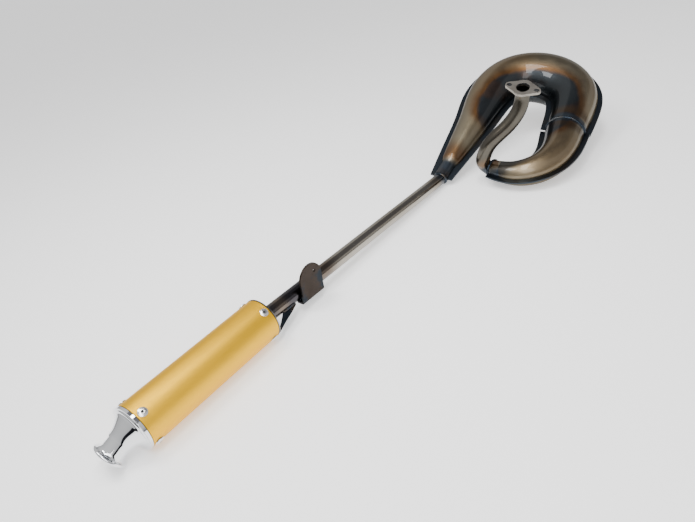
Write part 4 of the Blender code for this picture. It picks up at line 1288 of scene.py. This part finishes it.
def dimmed(tree, colour, amount, dark):
    """A colour mixed towards a dark shade by an amount."""
    made = node_of(tree, "ShaderNodeMix", {"data_type": "RGBA"}, B=dark)
    tree.links.new(amount, made.inputs["Factor"])
    tree.links.new(colour, made.inputs["A"])
    return made.outputs["Result"]


def room():
    """A grey room that is darker low down, with one dark part overhead and one low on the left."""
    world = bpy.data.worlds.new("studio")
    bpy.context.scene.world = world
    world.use_nodes = True
    tree = world.node_tree
    back = tree.nodes["Background"]
    back.inputs["Strength"].default_value = WORLD_POWER
    coords = tree.nodes.new("ShaderNodeTexCoord")
    split = tree.nodes.new("ShaderNodeSeparateXYZ")
    tree.links.new(coords.outputs["Generated"], split.inputs[0])
    ramp = tree.nodes.new("ShaderNodeValToRGB")
    stops = ramp.color_ramp.elements
    stops[0].position, stops[0].color = ROOM_LOW
    stops[1].position, stops[1].color = ROOM_WALL
    stops.new(ROOM_HIGH[0]).color = ROOM_HIGH[1]
    tree.links.new(split.outputs["Z"], ramp.inputs["Fac"])
    patch = dot_range(tree, coords, DARK_WAY, *DARK_SPAN)
    shown = dimmed(tree, ramp.outputs["Color"], patch, DARK_SHADE)
    both = node_of(tree, "ShaderNodeMath", {"operation": "MULTIPLY"})
    tree.links.new(dot_range(tree, coords, LOW_DARK_WAY, *LOW_DARK_SPAN), both.inputs[0])
    tree.links.new(dot_range(tree, coords, UPWARDS, *LOW_DARK_HEIGHT), both.inputs[1])
    shown = dimmed(tree, shown, both.outputs[0], LOW_DARK_SHADE)
    tree.links.new(shown, back.inputs["Color"])


def studio():
    """A pale floor under three soft boxes, in the room."""
    room()
    bpy.ops.mesh.primitive_plane_add(size=FLOOR_SIZE, location=(0.0, 0.0, -FLOOR_DROP))
    floor = bpy.context.object
    floor.name = "studio_floor"
    paper = bpy.data.materials.new("pale_paper")
    paper.use_nodes = True
    shader = paper.node_tree.nodes["Principled BSDF"]
    set_inputs(shader, Base_Color=FLOOR_SHADE, Roughness=0.9, Specular_IOR_Level=0.1)
    set_inputs(shader, Emission_Color=(1.0, 1.0, 1.0, 1.0), Emission_Strength=FLOOR_GLOW)
    floor.data.materials.append(paper)
    for box in SOFT_BOXES:
        area_light(*box)


def camera():
    data = bpy.data.cameras.new("view")
    data.sensor_width = CAMERA_SENSOR
    data.lens = CAMERA_LENS
    data.shift_x = CAMERA_SHIFT
    data.clip_start = 0.01
    obj = staged("view", data)
    obj.location = CAMERA_AT
    obj.rotation_euler = [radians(angle) for angle in CAMERA_TURN]
    bpy.context.scene.camera = obj


for old in list(bpy.data.objects):
    bpy.data.objects.remove(old, do_unlink=True)
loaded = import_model()

PARTS = new_collection("fine_shapes")
CUTTERS = new_collection("fine_cutters", hidden=True)
ROOT = frame("root_frame", (0, 0, 0), (REST_ROLL, REST_PITCH, 0))
STINGER = frame("stinger_frame", (0, 0, 0), (0, 0, 0), ROOT)
CHAMBER = frame("chamber_frame", CHAMBER_AT, CHAMBER_TURN, STINGER)
SILENCER = frame("silencer_frame", (-STINGER_LENGTH, 0, 0), SILENCER_TURN, STINGER)
build_pieces()
bpy.context.view_layer.update()
graph = bpy.context.evaluated_depsgraph_get()
built = [obj for obj in PARTS.objects if obj.type != "EMPTY"]
sleeve = next(obj for obj in built if obj["node"] == "silencer_sleeve")
shown = sleeve.evaluated_get(graph)
corners = np.array([shown.matrix_world @ vertex.co for vertex in shown.data.vertices])
box_low, box_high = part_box("silencer_sleeve")
shift = (box_low + box_high) / 2 - middle_of(corners)
to_world = Matrix.Translation(shift)
stinger_place = to_world @ STINGER.matrix_world
chamber_place = to_world @ CHAMBER.matrix_world
girth_place = chamber_place @ facing_place(girth_frames()[0], Vector(GIRTH_WAY), "Z")
low_corner, high_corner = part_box("header_diffuser_weld")
joint_spot = (low_corner + high_corner) / 2

shell_steel = chamber_look(chamber_place, girth_place)
fin_steel = fin_look()
pipe_steel = pipe_look(stinger_place)
header_steel = header_look(joint_spot)
brown_steel = brown_look()
weld_steel = weld_look()
plain = plain_looks(to_world @ SILENCER.matrix_world)
SHOWN = {
    "header_flange_weld": header_steel,
    "header_pipe": header_steel,
    "tail_pipe": pipe_steel,
    "mounting_bracket": brown_steel,
    "gusset_plate": brown_steel,
    "silencer_inlet_cap": plain["cap"],
    "silencer_sleeve": plain["gold"],
    "outlet_cap": plain["chrome"],
    "outlet_tip": plain["chrome"],
    "silencer_packing": plain["wool"],
    "perforated_core": plain["cap"],
}


def looks_of(node):
    """The materials of one node, in the order of its face groups."""
    if "shell" in node:
        return [shell_steel, fin_steel]
    if "rivet" in node:
        return [plain["rivets"], plain["shadow"]]
    if node == "port_flange":
        return [plain["flange"], plain["shadow"]]
    return [SHOWN.get(node, weld_steel)]


for obj in built:
    node = obj["node"]
    piece = finished(obj, shift, graph)
    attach(piece, "root")
    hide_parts(node)
for obj in list(PARTS.objects) + list(CUTTERS.objects):
    bpy.data.objects.remove(obj, do_unlink=True)
for collection in (PARTS, CUTTERS):
    bpy.data.collections.remove(collection)
for node in ("perforated_core", "silencer_packing"):
    loaded["nodes"][node].data.materials.clear()
    loaded["nodes"][node].data.materials.append(looks_of(node)[0])

studio()
camera()
